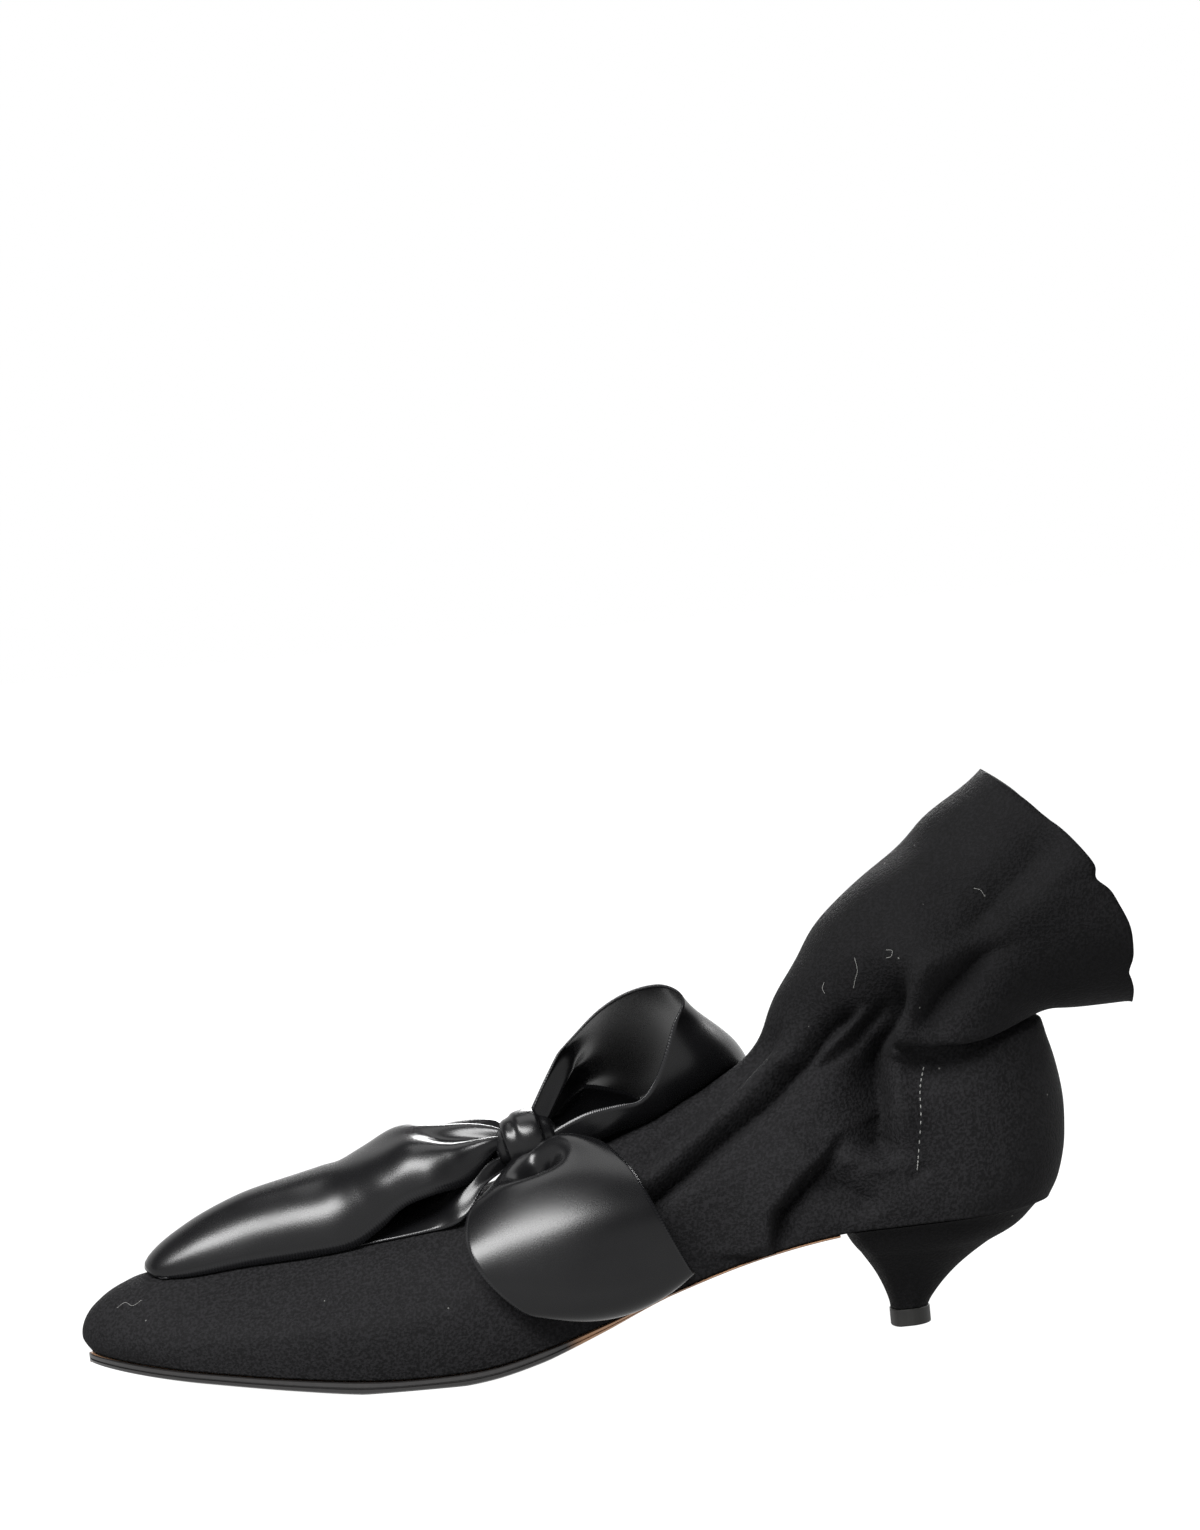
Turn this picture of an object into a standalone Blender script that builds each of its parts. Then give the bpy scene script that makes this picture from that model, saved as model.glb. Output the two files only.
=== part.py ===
"""Left sock ankle boot on a kitten heel, with a slack shaft and a wide ribbon bow on the instep.

Sizes are millimetres measured from the toe tip (x), the shoe's own axis (y) and the floor (z).
The toe points to -X and the outer side of the foot is -Y. The finished part is moved so that the
middle of its box stands over the origin, and it is built in metres.
"""

import math
from collections import namedtuple

import bmesh
import bpy
from mathutils import Vector
from mathutils.bvhtree import BVHTree

MM = 0.001
GAP = 0.3
UPPER_WALL = 1.5
INSOLE_THICKNESS = 1.8
INSOLE_INSET = 0.6
RIBBON_THICKNESS = 0.9
BREAST_X = 193.4
SEAT_SHARE = 0.95
WELT_SHARE = 0.985
WAIST_BEVEL = 4.0
WAIST_START_X = 118.0
WAIST_FULL_X = 150.0
KNOT_CLEARANCE = 0.35
RIBBON_REST = 1.6

HALF_LOOP_STEPS = 22
LEVEL_STEPS = 35
SOLE_STEPS = 30
HEEL_STEPS = 10
RIBBON_STEPS = 30
RIBBON_ACROSS = 4
KNOT_SIDES = 16

# Plan half-widths, sideways bend of the axis, and heights of the feather edge and of the tread.
Station = namedtuple("Station", "x lateral medial bend feather tread")
FOOT = [
    Station(0, 15.0, 15.0, 5.0, 12.6, 9.9),
    Station(12, 20.5, 19.5, 4.4, 10.7, 7.9),
    Station(30, 25.5, 24.5, 3.2, 8.0, 5.2),
    Station(55, 32.0, 30.5, 1.4, 4.9, 1.9),
    Station(76, 35.5, 33.5, 0.3, 3.1, -0.3),
    Station(92, 36.5, 33.0, 0.0, 3.0, -0.3),
    Station(105, 35.8, 30.5, -0.2, 3.9, 0.9),
    Station(118, 33.6, 26.8, -0.6, 6.8, 3.9),
    Station(134, 30.0, 22.6, -1.0, 11.6, 8.7),
    Station(150, 27.0, 20.0, -1.0, 17.0, 14.2),
    Station(172, 25.2, 20.0, -0.6, 23.2, 20.6),
    Station(193, 26.0, 23.0, -0.2, 27.0, 24.5),
    Station(212, 26.8, 25.6, 0.0, 27.8, 25.3),
    Station(232, 26.0, 25.5, 0.0, 28.2, 25.7),
    Station(255, 25.5, 25.0, 0.0, 29.4, 27.0),
    Station(285, 25.5, 25.0, 0.0, 30.0, 28.0),
]

# Rings of the upper from the feather edge to the collar. Each runs from a point on the vamp's ridge
# or the shaft's front fold to a point on the back seam. droop rounds the vamp over its ridge, swell
# pushes the middle of a ring out along the shaft, follow is its share of the sole's curve, nose and
# tail are the lengths of its round ends, and width scales the foot's half-widths.
Ring = namedtuple("Ring", "front_x front_z back_x back_z droop swell_x swell_z follow nose tail width")
RINGS = [
    Ring(2.5, 12.4, 247.5, 29.0, 0, 0, 0, 1.00, 30, 27, 0.965),
    Ring(0.4, 16.0, 250.3, 34.0, 0, 0, 0, 1.00, 30, 27, 1.000),
    Ring(1.3, 20.4, 252.4, 41.0, 2, 0, 0, 0.95, 31, 27, 1.005),
    Ring(4.7, 24.6, 253.2, 47.5, 5, 0, 0, 0.90, 33, 27, 1.000),
    Ring(11.4, 28.8, 253.4, 53.5, 10, 0, 0, 0.85, 38, 27, 0.990),
    Ring(23.0, 32.3, 253.0, 58.5, 14, 0, 0, 0.80, 44, 27, 0.980),
    Ring(48.0, 34.6, 252.3, 63.0, 18, 0, 0, 0.70, 50, 27, 0.970),
    Ring(76.0, 38.0, 251.6, 66.5, 18, 0, 0, 0.55, 50, 26, 0.960),
    Ring(102.0, 43.6, 250.9, 69.6, 17, 0, 0, 0.40, 48, 25, 0.940),
    Ring(127.0, 51.2, 249.8, 72.0, 15, 0, 0, 0.28, 44, 24, 0.920),
    Ring(148.0, 58.4, 246.5, 73.6, 12, 0, 0, 0.15, 38, 23, 0.890),
    Ring(163.0, 64.6, 239.0, 74.6, 9, 0, 0, 0.06, 33, 22, 0.860),
    Ring(172.0, 69.2, 233.0, 76.0, 6, 0, 0, 0, 30, 24, 0.850),
    Ring(177.0, 74.0, 233.6, 78.0, 3, 0, 0, 0, 30, 28, 0.870),
    Ring(182.0, 82.5, 241.0, 77.6, 1, 0, 0, 0, 30, 30, 0.920),
    Ring(188.5, 94.0, 252.0, 76.4, 0, 2, 2, 0, 32, 32, 1.000),
    Ring(196.5, 104.0, 262.0, 75.8, 0, 4, 3, 0, 34, 34, 1.060),
    Ring(208.0, 113.6, 268.5, 75.5, 0, 6, 4, 0, 35, 35, 1.100),
    Ring(223.0, 124.6, 271.6, 75.4, 0, 9, 4, 0, 36, 36, 1.120),
    Ring(240.4, 137.4, 272.6, 75.2, 0, 13, 4, 0, 35, 35, 1.080),
]
RISE_POWER = 1.7

# The outsole's edge from its top face down: share of its thickness, and inset of that step.
EdgeStep = namedtuple("EdgeStep", "share inset")
SOLE_EDGE = [
    EdgeStep(0.00, 0.0),
    EdgeStep(0.40, 0.0),
    EdgeStep(0.46, 0.6),
    EdgeStep(0.54, 0.6),
    EdgeStep(0.60, 0.1),
    EdgeStep(1.00, 0.9),
]

# The covered heel from its seat down to the top piece, as shares of the foot's half-widths.
HeelRow = namedtuple("HeelRow", "front_x back_x z width nose")
HEEL = [
    HeelRow(195.6, 240.6, 24.2, 0.840, 4.0),
    HeelRow(198.8, 231.3, 19.2, 0.640, 4.0),
    HeelRow(201.6, 224.2, 14.6, 0.470, 3.5),
    HeelRow(203.5, 219.3, 10.4, 0.355, 3.0),
    HeelRow(204.7, 215.9, 6.6, 0.290, 2.5),
    HeelRow(205.0, 214.6, 4.6, 0.275, 2.5),
]
SEAT_BACK_X = 246.4
SEAT_NOSE = 4.0
TOP_PIECE_HEIGHT = 4.3
TOP_PIECE_OVERHANG = 0.3

# The two selvedges of each ribbon loop from the knot, out round its fold and back to the knot.
# crown bows the middle of the ribbon outwards. A height of None rests that selvedge on the upper.
Fold = namedtuple("Fold", "near far crown")
FRONT_LOOP = [
    Fold((112.5, -13, 54.5), (113.0, -7, 58.5), 0),
    Fold((104.0, -16, 48.5), (106.0, 4, 61.0), 2),
    Fold((92.0, -18, 44.0), (92.0, 11, 62.3), 3),
    Fold((78.0, -19, 37.0), (79.0, 14, 57.0), 4),
    Fold((61.0, -18, 33.4), (64.0, 15, 53.0), 4),
    Fold((43.0, -14, 34.5), (46.0, 15, 49.2), 4),
    Fold((29.0, -8, 37.5), (32.0, 13, 44.8), 3),
    Fold((22.8, -3, 37.6), (24.0, 10, 39.5), 1),
    Fold((27.0, -2, None), (28.0, 9, None), -1),
    Fold((46.0, -6, None), (47.0, 13, None), -2),
    Fold((70.0, -8, None), (71.0, 14, None), -3),
    Fold((94.0, -9, None), (95.0, 10, None), -2),
    Fold((113.0, -11, 51.5), (113.5, -6, 52.5), 0),
]
BACK_LOOP = [
    Fold((122.0, -13, 54.5), (122.5, -7, 56.0), 0),
    Fold((137.0, -13, 58.8), (147.0, 12, 57.6), 1),
    Fold((148.0, -12, 65.0), (161.0, 22, 60.5), 1),
    Fold((156.5, -10, 73.5), (170.0, 27, 65.5), 2),
    Fold((160.5, -9, 82.0), (173.5, 29, 71.0), 3),
    Fold((158.5, -8, 88.4), (170.0, 30, 75.0), 4),
    Fold((150.0, -8, 90.2), (161.0, 30, 73.5), 4),
    Fold((139.0, -8, 86.3), (151.0, 25, 67.5), 3),
    Fold((131.0, -9, 79.0), (141.0, 18, 63.0), 2),
    Fold((126.5, -11, 71.0), (131.0, 6, 62.5), 1),
    Fold((120.5, -13, 61.0), (121.5, -7, 62.5), 0),
]
SIDE_LOOP = [
    Fold((115.0, -15, 50.5), (119.0, -15, 51.0), 0),
    Fold((112.0, -22, 43.0), (130.0, -20, 49.5), 0),
    Fold((108.0, -31, 34.0), (140.0, -26, 43.5), 0),
    Fold((108.0, -37, 25.0), (147.0, -29, 34.0), 0),
    Fold((112.0, -38, 16.5), (152.0, -30, 25.0), 0),
    Fold((117.0, -39, 11.0), (155.3, -31, 18.0), 0),
    Fold((113.5, -41, 12.2), (155.0, -33, 18.8), 0),
    Fold((106.5, -41, 18.2), (151.5, -35, 26.5), 1),
    Fold((102.0, -39, 25.5), (147.0, -35, 36.0), 2),
    Fold((101.0, -33, 35.0), (141.0, -31, 46.8), 3),
    Fold((107.0, -23, 44.0), (132.0, -22, 54.5), 3),
    Fold((114.0, -15, 53.5), (119.0, -15, 54.5), 0),
]

# The knot's wrap as oval rings along its axis.
KnotRing = namedtuple("KnotRing", "along across height")
KNOT_CENTRE = (117.5, -10.0, 56.3)
KNOT_TILT_DEG = 24.0
KNOT = [
    KnotRing(-8.8, 3.0, 3.0),
    KnotRing(-7.2, 6.3, 6.0),
    KnotRing(-3.2, 7.6, 7.4),
    KnotRing(0.0, 7.2, 7.0),
    KnotRing(3.2, 7.8, 7.7),
    KnotRing(7.2, 6.4, 6.2),
    KnotRing(8.8, 3.2, 3.2),
]

MATERIALS = {
    "crepe": ((0.012, 0.012, 0.013), 0.85),
    "satin": ((0.010, 0.010, 0.011), 0.32),
    "sole_leather": ((0.42, 0.25, 0.14), 0.60),
    "insole_leather": ((0.30, 0.22, 0.16), 0.70),
    "heel_rubber": ((0.060, 0.058, 0.056), 0.60),
}


def hermite(a, b, slope_a, slope_b, t):
    """Cubic from a to b with the given end slopes over a unit step."""
    return (
        a * (2 * t**3 - 3 * t**2 + 1)
        + slope_a * (t**3 - 2 * t**2 + t)
        + b * (3 * t**2 - 2 * t**3)
        + slope_b * (t**3 - t**2)
    )


def smooth_at(keys, values, key):
    """Value of a smooth curve through (key, value) rows."""
    last = len(keys) - 1
    i = max(0, min(last - 1, sum(1 for k in keys[1:last] if k <= key)))
    step = keys[i + 1] - keys[i]

    def slope(n):
        low, high = max(0, n - 1), min(last, n + 1)
        return (values[high] - values[low]) / (keys[high] - keys[low])

    t = max(0.0, min(1.0, (key - keys[i]) / step))
    return hermite(values[i], values[i + 1], slope(i) * step, slope(i + 1) * step, t)


def foot(x, column):
    """One column of the foot table at a distance x from the toe."""
    return smooth_at([row.x for row in FOOT], [getattr(row, column) for row in FOOT], x)


def ring_at(level):
    """The ring at a fractional row of the ring table."""
    rows = range(len(RINGS))
    columns = zip(*RINGS)
    return Ring(*(smooth_at(rows, column, level) for column in columns))


def round_end(distance, length):
    """Share of the full width at a distance from a round end."""
    return math.sqrt(1 - (1 - min(1.0, max(0.0, distance / length))) ** 2)


def ring_point(ring, share, side):
    """A point of a ring, at a share of the way from front to back, on side -1 (outer) or 1 (inner)."""
    chord = math.hypot(ring.back_x - ring.front_x, ring.back_z - ring.front_z)
    front = round_end(share * chord, ring.nose)
    back = round_end((1 - share) * chord, ring.tail)
    middle = 4 * share * (1 - share)
    x = ring.front_x + (ring.back_x - ring.front_x) * share + ring.swell_x * middle
    rise = share**RISE_POWER
    sole_curve = foot(x, "feather") - (
        foot(ring.front_x, "feather") * (1 - rise) + foot(ring.back_x, "feather") * rise
    )
    z = (
        ring.front_z
        + (ring.back_z - ring.front_z) * rise
        + ring.swell_z * middle
        + ring.follow * sole_curve
        - ring.droop * front**2 * (1 - share)
    )
    half = foot(x, "lateral" if side < 0 else "medial") * ring.width
    return Vector((x, foot(x, "bend") + side * half * front * back, z))


def ring_points(ring):
    """A closed ring, from its front along the outer side to the back and home along the inner side."""
    shares = [(1 - math.cos(math.pi * j / HALF_LOOP_STEPS)) / 2 for j in range(HALF_LOOP_STEPS + 1)]
    outer = [ring_point(ring, share, -1) for share in shares]
    inner = [ring_point(ring, share, 1) for share in reversed(shares[1:-1])]
    return outer + inner


def add_solid(name, material, fill):
    """A named object whose mesh is filled by a function and turned outwards."""
    mesh = bpy.data.meshes.new(name)
    shape = bmesh.new()
    fill(shape)
    bmesh.ops.recalc_face_normals(shape, faces=shape.faces)
    shape.to_mesh(mesh)
    shape.free()
    mesh.shade_smooth()
    mesh.set_sharp_from_angle(angle=math.radians(40))
    mesh.materials.append(material)
    solid = bpy.data.objects.new(name, mesh)
    bpy.context.collection.objects.link(solid)
    return solid


def add_loop(shape, points):
    return [shape.verts.new(Vector(point) * MM) for point in points]


def bridge(shape, loop_a, loop_b):
    """Quads between two closed loops with the same number of points."""
    count = len(loop_a)
    for j in range(count):
        k = (j + 1) % count
        shape.faces.new((loop_a[j], loop_a[k], loop_b[k], loop_b[j]))


def loft(shape, sections):
    """A closed body through closed sections, capped at both ends."""
    loops = [add_loop(shape, section) for section in sections]
    for loop_a, loop_b in zip(loops, loops[1:]):
        bridge(shape, loop_a, loop_b)
    shape.faces.new(list(reversed(loops[0])))
    shape.faces.new(loops[-1])


def inward_offset(rings, distance):
    """The rings moved inwards along the surface they span."""
    moved = []
    count = len(rings[0])
    top = len(rings) - 1
    for i, ring in enumerate(rings):
        row = []
        for j, point in enumerate(ring):
            along = ring[(j + 1) % count] - ring[j - 1]
            up = rings[min(top, i + 1)][j] - rings[max(0, i - 1)][j]
            normal = along.cross(up).normalized()
            if i == 0:
                normal.z = 0.0
                normal.normalize()
            row.append(point - normal * distance)
        moved.append(row)
    return moved


def upper_rings():
    top = len(RINGS) - 1
    return [ring_points(ring_at(top * i / LEVEL_STEPS)) for i in range(LEVEL_STEPS + 1)]


def build_upper(material):
    """Hollow upper, open at the collar and along the feather edge."""
    outside = upper_rings()
    inside = inward_offset(outside, UPPER_WALL)

    def fill(shape):
        outer = [add_loop(shape, ring) for ring in outside]
        inner = [add_loop(shape, ring) for ring in inside]
        for walls in (outer, inner):
            for loop_a, loop_b in zip(walls, walls[1:]):
                bridge(shape, loop_a, loop_b)
        bridge(shape, outer[0], inner[0])
        bridge(shape, outer[-1], inner[-1])

    return add_solid("upper", material, fill)


def sole_half(x, side, share, front_x, back_x):
    """Half-width of the feather outline at x, measured from the bend of the axis."""
    feather = RINGS[0]
    ends = round_end(x - front_x, feather.nose) * round_end(back_x - x, feather.tail)
    return foot(x, "lateral" if side < 0 else "medial") * share * ends


def stations(front_x, back_x):
    """Stations that crowd towards the round toe."""
    steps = range(SOLE_STEPS + 1)
    return [front_x + (back_x - front_x) * (1 - math.cos(math.pi / 2 * s / SOLE_STEPS)) for s in steps]


def build_outsole(material):
    """Thin outsole with a stepped edge, a bevelled waist, toe spring and a flat tread under the ball."""
    front_x = RINGS[0].front_x - 0.9
    sections = []
    for x in stations(front_x + 0.2, BREAST_X):
        top = foot(x, "feather") - GAP
        bottom = max(0.0, foot(x, "tread"))
        waist = max(0.0, min(1.0, (x - WAIST_START_X) / (WAIST_FULL_X - WAIST_START_X)))
        section = []
        for side in (-1, 1):
            half = sole_half(x, side, WELT_SHARE, front_x, RINGS[0].back_x)
            edge = []
            for step in SOLE_EDGE:
                inset = step.inset + waist * WAIST_BEVEL * step.share
                y = foot(x, "bend") + side * max(half - inset, half * 0.5)
                edge.append(Vector((x, y, top + (bottom - top) * step.share)))
            section += edge if side < 0 else list(reversed(edge))
        sections.append(section)
    return add_solid("outsole", material, lambda shape: loft(shape, sections))


def build_insole(material):
    """Flat sock lining board that lies inside the upper, just above the sole and the heel seat."""
    inset = UPPER_WALL + INSOLE_INSET
    feather = RINGS[0]
    front_x, back_x = feather.front_x + inset, feather.back_x - inset
    sections = []
    steps = 2 * SOLE_STEPS
    for s in range(1, steps):
        x = front_x + (back_x - front_x) * (1 - math.cos(math.pi * s / steps)) / 2
        bottom = foot(x, "feather")
        edges = []
        for side in (-1, 1):
            half = sole_half(x, side, feather.width, feather.front_x, feather.back_x)
            ends = round_end(x - front_x, feather.nose) * round_end(back_x - x, feather.tail)
            edges.append(foot(x, "bend") + side * max(0.4, half * ends / max(ends, 0.9) - inset))
        low, high = bottom, bottom + INSOLE_THICKNESS
        corners = [(edges[0], low), (edges[1], low), (edges[1], high), (edges[0], high)]
        sections.append([Vector((x, y, z)) for y, z in corners])
    return add_solid("insole", material, lambda shape: loft(shape, sections))


def heel_section(front_x, back_x, height, share, nose):
    """D-shaped ring of the heel: a flat breast with rounded corners and a round back."""
    tail = (back_x - front_x) * 0.55
    points = []
    for side in (-1, 1):
        half_ring = []
        for s in range(HEEL_STEPS + 1):
            x = front_x + (back_x - front_x) * (1 - math.cos(math.pi * s / HEEL_STEPS)) / 2
            ends = round_end(x - front_x, nose) * round_end(back_x - x, tail)
            half = foot(x, "lateral" if side < 0 else "medial") * share * ends
            half_ring.append(Vector((x, foot(x, "bend") + side * half, height(x))))
        points += half_ring if side < 0 else list(reversed(half_ring[1:-1]))
    return points


def build_heel(material):
    """Fabric-covered kitten heel whose seat follows the feather edge."""
    sections = [heel_section(row.front_x, row.back_x, lambda x, z=row.z: z, row.width, row.nose) for row in HEEL]
    seat = heel_section(
        BREAST_X + GAP, SEAT_BACK_X, lambda x: foot(x, "feather") - GAP, SEAT_SHARE, SEAT_NOSE
    )
    return add_solid("heel", material, lambda shape: loft(shape, [seat] + sections))


def build_top_piece(material):
    """Small hard-wearing plug under the heel."""
    tip = HEEL[-1]
    front_x, back_x = tip.front_x - TOP_PIECE_OVERHANG, tip.back_x + TOP_PIECE_OVERHANG
    sections = [
        heel_section(front_x, back_x, lambda x, z=z: z, tip.width, tip.nose) for z in (0.0, TOP_PIECE_HEIGHT)
    ]
    return add_solid("top_piece", material, lambda shape: loft(shape, sections))


def knot_sections(clearance):
    """Oval rings of the knot, grown by a clearance."""
    turn = math.radians(KNOT_TILT_DEG)
    axis = Vector((math.cos(turn), 0, math.sin(turn)))
    rise = Vector((-math.sin(turn), 0, math.cos(turn)))
    sections = []
    reach = KNOT[-1].along
    for row in KNOT:
        along = row.along * (reach + clearance) / reach
        ring = []
        for s in range(KNOT_SIDES):
            angle = 2 * math.pi * s / KNOT_SIDES
            across = Vector((0, (row.across + clearance) * math.cos(angle), 0))
            up = rise * (row.height + clearance) * math.sin(angle)
            ring.append(Vector(KNOT_CENTRE) + axis * along + across + up)
        sections.append(ring)
    return sections


def build_knot(material):
    return add_solid("bow_knot", material, lambda shape: loft(shape, knot_sections(0.0)))


def resting_height(tree, x, y):
    """Height of a ribbon that lies on the upper at a point of the plan."""
    ceiling = RINGS[-1].front_z
    hit = tree.ray_cast(Vector((x, y, ceiling)), Vector((0, 0, -1)))[0]
    return hit.z + RIBBON_REST


def ribbon_sections(folds, tree):
    """Thin crowned rectangles along a ribbon that runs through its folds."""

    def seated(point):
        x, y, z = point
        return Vector((x, y, resting_height(tree, x, y) if z is None else z))

    near = [seated(fold.near) for fold in folds]
    far = [seated(fold.far) for fold in folds]
    rows = range(len(folds))
    last = len(folds) - 1

    def middle_line(row, across):
        edges = [Vector(smooth_at(rows, [p[k] for p in edge], row) for k in range(3)) for edge in (near, far)]
        crown = smooth_at(rows, [fold.crown for fold in folds], row) * 4 * across * (1 - across)
        step = 0.02
        ahead, behind = min(last, row + step), max(0, row - step)
        along = Vector(
            sum(smooth_at(rows, [p[k] for p in edge], ahead) - smooth_at(rows, [p[k] for p in edge], behind)
                for edge in (near, far))
            for k in range(3)
        )
        normal = (edges[1] - edges[0]).cross(along).normalized()
        return edges[0].lerp(edges[1], across) + normal * crown, normal

    sections = []
    for s in range(RIBBON_STEPS + 1):
        row = last * s / RIBBON_STEPS
        shares = [a / RIBBON_ACROSS for a in range(RIBBON_ACROSS + 1)]
        line = [middle_line(row, share) for share in shares]
        front = [point + normal * RIBBON_THICKNESS / 2 for point, normal in line]
        back = [point - normal * RIBBON_THICKNESS / 2 for point, normal in line]
        sections.append(front + list(reversed(back)))
    return sections


def build_ribbon_loop(name, folds, tree, material):
    """A ribbon loop whose two ends stop just short of the knot."""
    sections = ribbon_sections(folds, tree)
    ribbon = add_solid(name, material, lambda shape: loft(shape, sections))
    cutter = add_solid(name + "_knot_cutter", material, lambda shape: loft(shape, knot_sections(KNOT_CLEARANCE)))
    cutter.hide_render = True
    cutter.display_type = "WIRE"
    cut = ribbon.modifiers.new("clear of the knot", "BOOLEAN")
    cut.operation = "DIFFERENCE"
    cut.object = cutter
    return ribbon


def make_material(name):
    colour, roughness = MATERIALS[name]
    material = bpy.data.materials.new(name)
    material.use_nodes = True
    shader = material.node_tree.nodes["Principled BSDF"]
    shader.inputs["Base Color"].default_value = (*colour, 1.0)
    shader.inputs["Roughness"].default_value = roughness
    return material


def stand_over_origin(solids):
    """Moves every mesh so that the part's box is centred on the origin, on the floor."""
    points = [vertex.co for solid in solids for vertex in solid.data.vertices]
    low_x, high_x = min(p.x for p in points), max(p.x for p in points)
    low_y, high_y = min(p.y for p in points), max(p.y for p in points)
    shift = Vector((-(low_x + high_x) / 2, -(low_y + high_y) / 2, 0))
    for solid in bpy.data.objects:
        for vertex in solid.data.vertices:
            vertex.co += shift


def main():
    for old in list(bpy.data.objects):
        bpy.data.objects.remove(old, do_unlink=True)
    finish = {name: make_material(name) for name in MATERIALS}
    upper = build_upper(finish["crepe"])
    solids = [
        upper,
        build_outsole(finish["sole_leather"]),
        build_insole(finish["insole_leather"]),
        build_heel(finish["crepe"]),
        build_top_piece(finish["heel_rubber"]),
        build_knot(finish["satin"]),
    ]
    tops = [vertex.co / MM for vertex in upper.data.vertices]
    tree = BVHTree.FromPolygons(tops, [face.vertices[:] for face in upper.data.polygons])
    for name, folds in (("front", FRONT_LOOP), ("back", BACK_LOOP), ("side", SIDE_LOOP)):
        solids.append(build_ribbon_loop("bow_loop_" + name, folds, tree, finish["satin"]))
    stand_over_origin(solids)


main()
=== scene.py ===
"""Looks of a left sock ankle boot on a kitten heel with a ribbon bow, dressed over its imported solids.

Sizes in the tables are millimetres in the shoe's own frame: x from the toe tip, y from the shoe's
axis with the outer side at -y, z from the floor. in_metres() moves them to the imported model's place.
"""

import math
from collections import namedtuple

import bmesh
import bpy
import numpy as np
from bpy.props import FloatProperty, FloatVectorProperty, PointerProperty
from mathutils import Matrix, Vector
from mathutils.bvhtree import BVHTree


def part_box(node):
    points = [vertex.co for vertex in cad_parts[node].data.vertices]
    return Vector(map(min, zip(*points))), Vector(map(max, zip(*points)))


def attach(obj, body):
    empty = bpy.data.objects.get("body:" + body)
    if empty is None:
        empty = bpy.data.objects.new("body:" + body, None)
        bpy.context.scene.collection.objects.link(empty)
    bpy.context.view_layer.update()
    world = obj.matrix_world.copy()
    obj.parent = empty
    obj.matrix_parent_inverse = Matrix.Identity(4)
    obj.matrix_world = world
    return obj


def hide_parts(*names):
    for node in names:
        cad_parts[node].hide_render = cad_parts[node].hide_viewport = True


bl_info = {
    "name": "Sock Ankle Boot Looks",
    "version": (1, 0, 0),
    "blender": (4, 5, 0),
    "location": "View3D > Sidebar > Boot",
    "description": "Dresses the packed solids of a sock ankle boot with crepe, satin and leather",
    "category": "Object",
}

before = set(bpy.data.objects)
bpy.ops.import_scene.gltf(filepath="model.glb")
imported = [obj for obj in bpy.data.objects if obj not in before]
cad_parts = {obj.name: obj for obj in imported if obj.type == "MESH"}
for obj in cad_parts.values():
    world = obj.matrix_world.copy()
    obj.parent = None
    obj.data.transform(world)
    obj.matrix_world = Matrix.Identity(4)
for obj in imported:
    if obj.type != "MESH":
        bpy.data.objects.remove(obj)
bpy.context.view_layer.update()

MM = 0.001
# Sizes of the sole and the heel, after the solids.
GAP = 0.3
BREAST_X = 193.4
WELT_SHARE = 0.985
WAIST_BEVEL = 4.0
WAIST_START_X = 118.0
WAIST_FULL_X = 150.0
TOP_PIECE_MIDDLE_X = 209.8
TOP_PIECE_HEIGHT = 4.3
TOP_PIECE_OVERHANG = 0.3

# Plan half-widths, sideways bend of the axis, and heights of the feather edge and of the tread.
Station = namedtuple("Station", "x lateral medial bend feather tread")
FOOT = [
    Station(0, 15.0, 15.0, 5.0, 12.6, 9.9),
    Station(12, 20.5, 19.5, 4.4, 10.7, 7.9),
    Station(30, 25.5, 24.5, 3.2, 8.0, 5.2),
    Station(55, 32.0, 30.5, 1.4, 4.9, 1.9),
    Station(76, 35.5, 33.5, 0.3, 3.1, -0.3),
    Station(92, 36.5, 33.0, 0.0, 3.0, -0.3),
    Station(105, 35.8, 30.5, -0.2, 3.9, 0.9),
    Station(118, 33.6, 26.8, -0.6, 6.8, 3.9),
    Station(134, 30.0, 22.6, -1.0, 11.6, 8.7),
    Station(150, 27.0, 20.0, -1.0, 17.0, 14.2),
    Station(172, 25.2, 20.0, -0.6, 23.2, 20.6),
    Station(193, 26.0, 23.0, -0.2, 27.0, 24.5),
    Station(212, 26.8, 25.6, 0.0, 27.8, 25.3),
    Station(232, 26.0, 25.5, 0.0, 28.2, 25.7),
    Station(255, 25.5, 25.0, 0.0, 29.4, 27.0),
    Station(285, 25.5, 25.0, 0.0, 30.0, 28.0),
]

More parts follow.
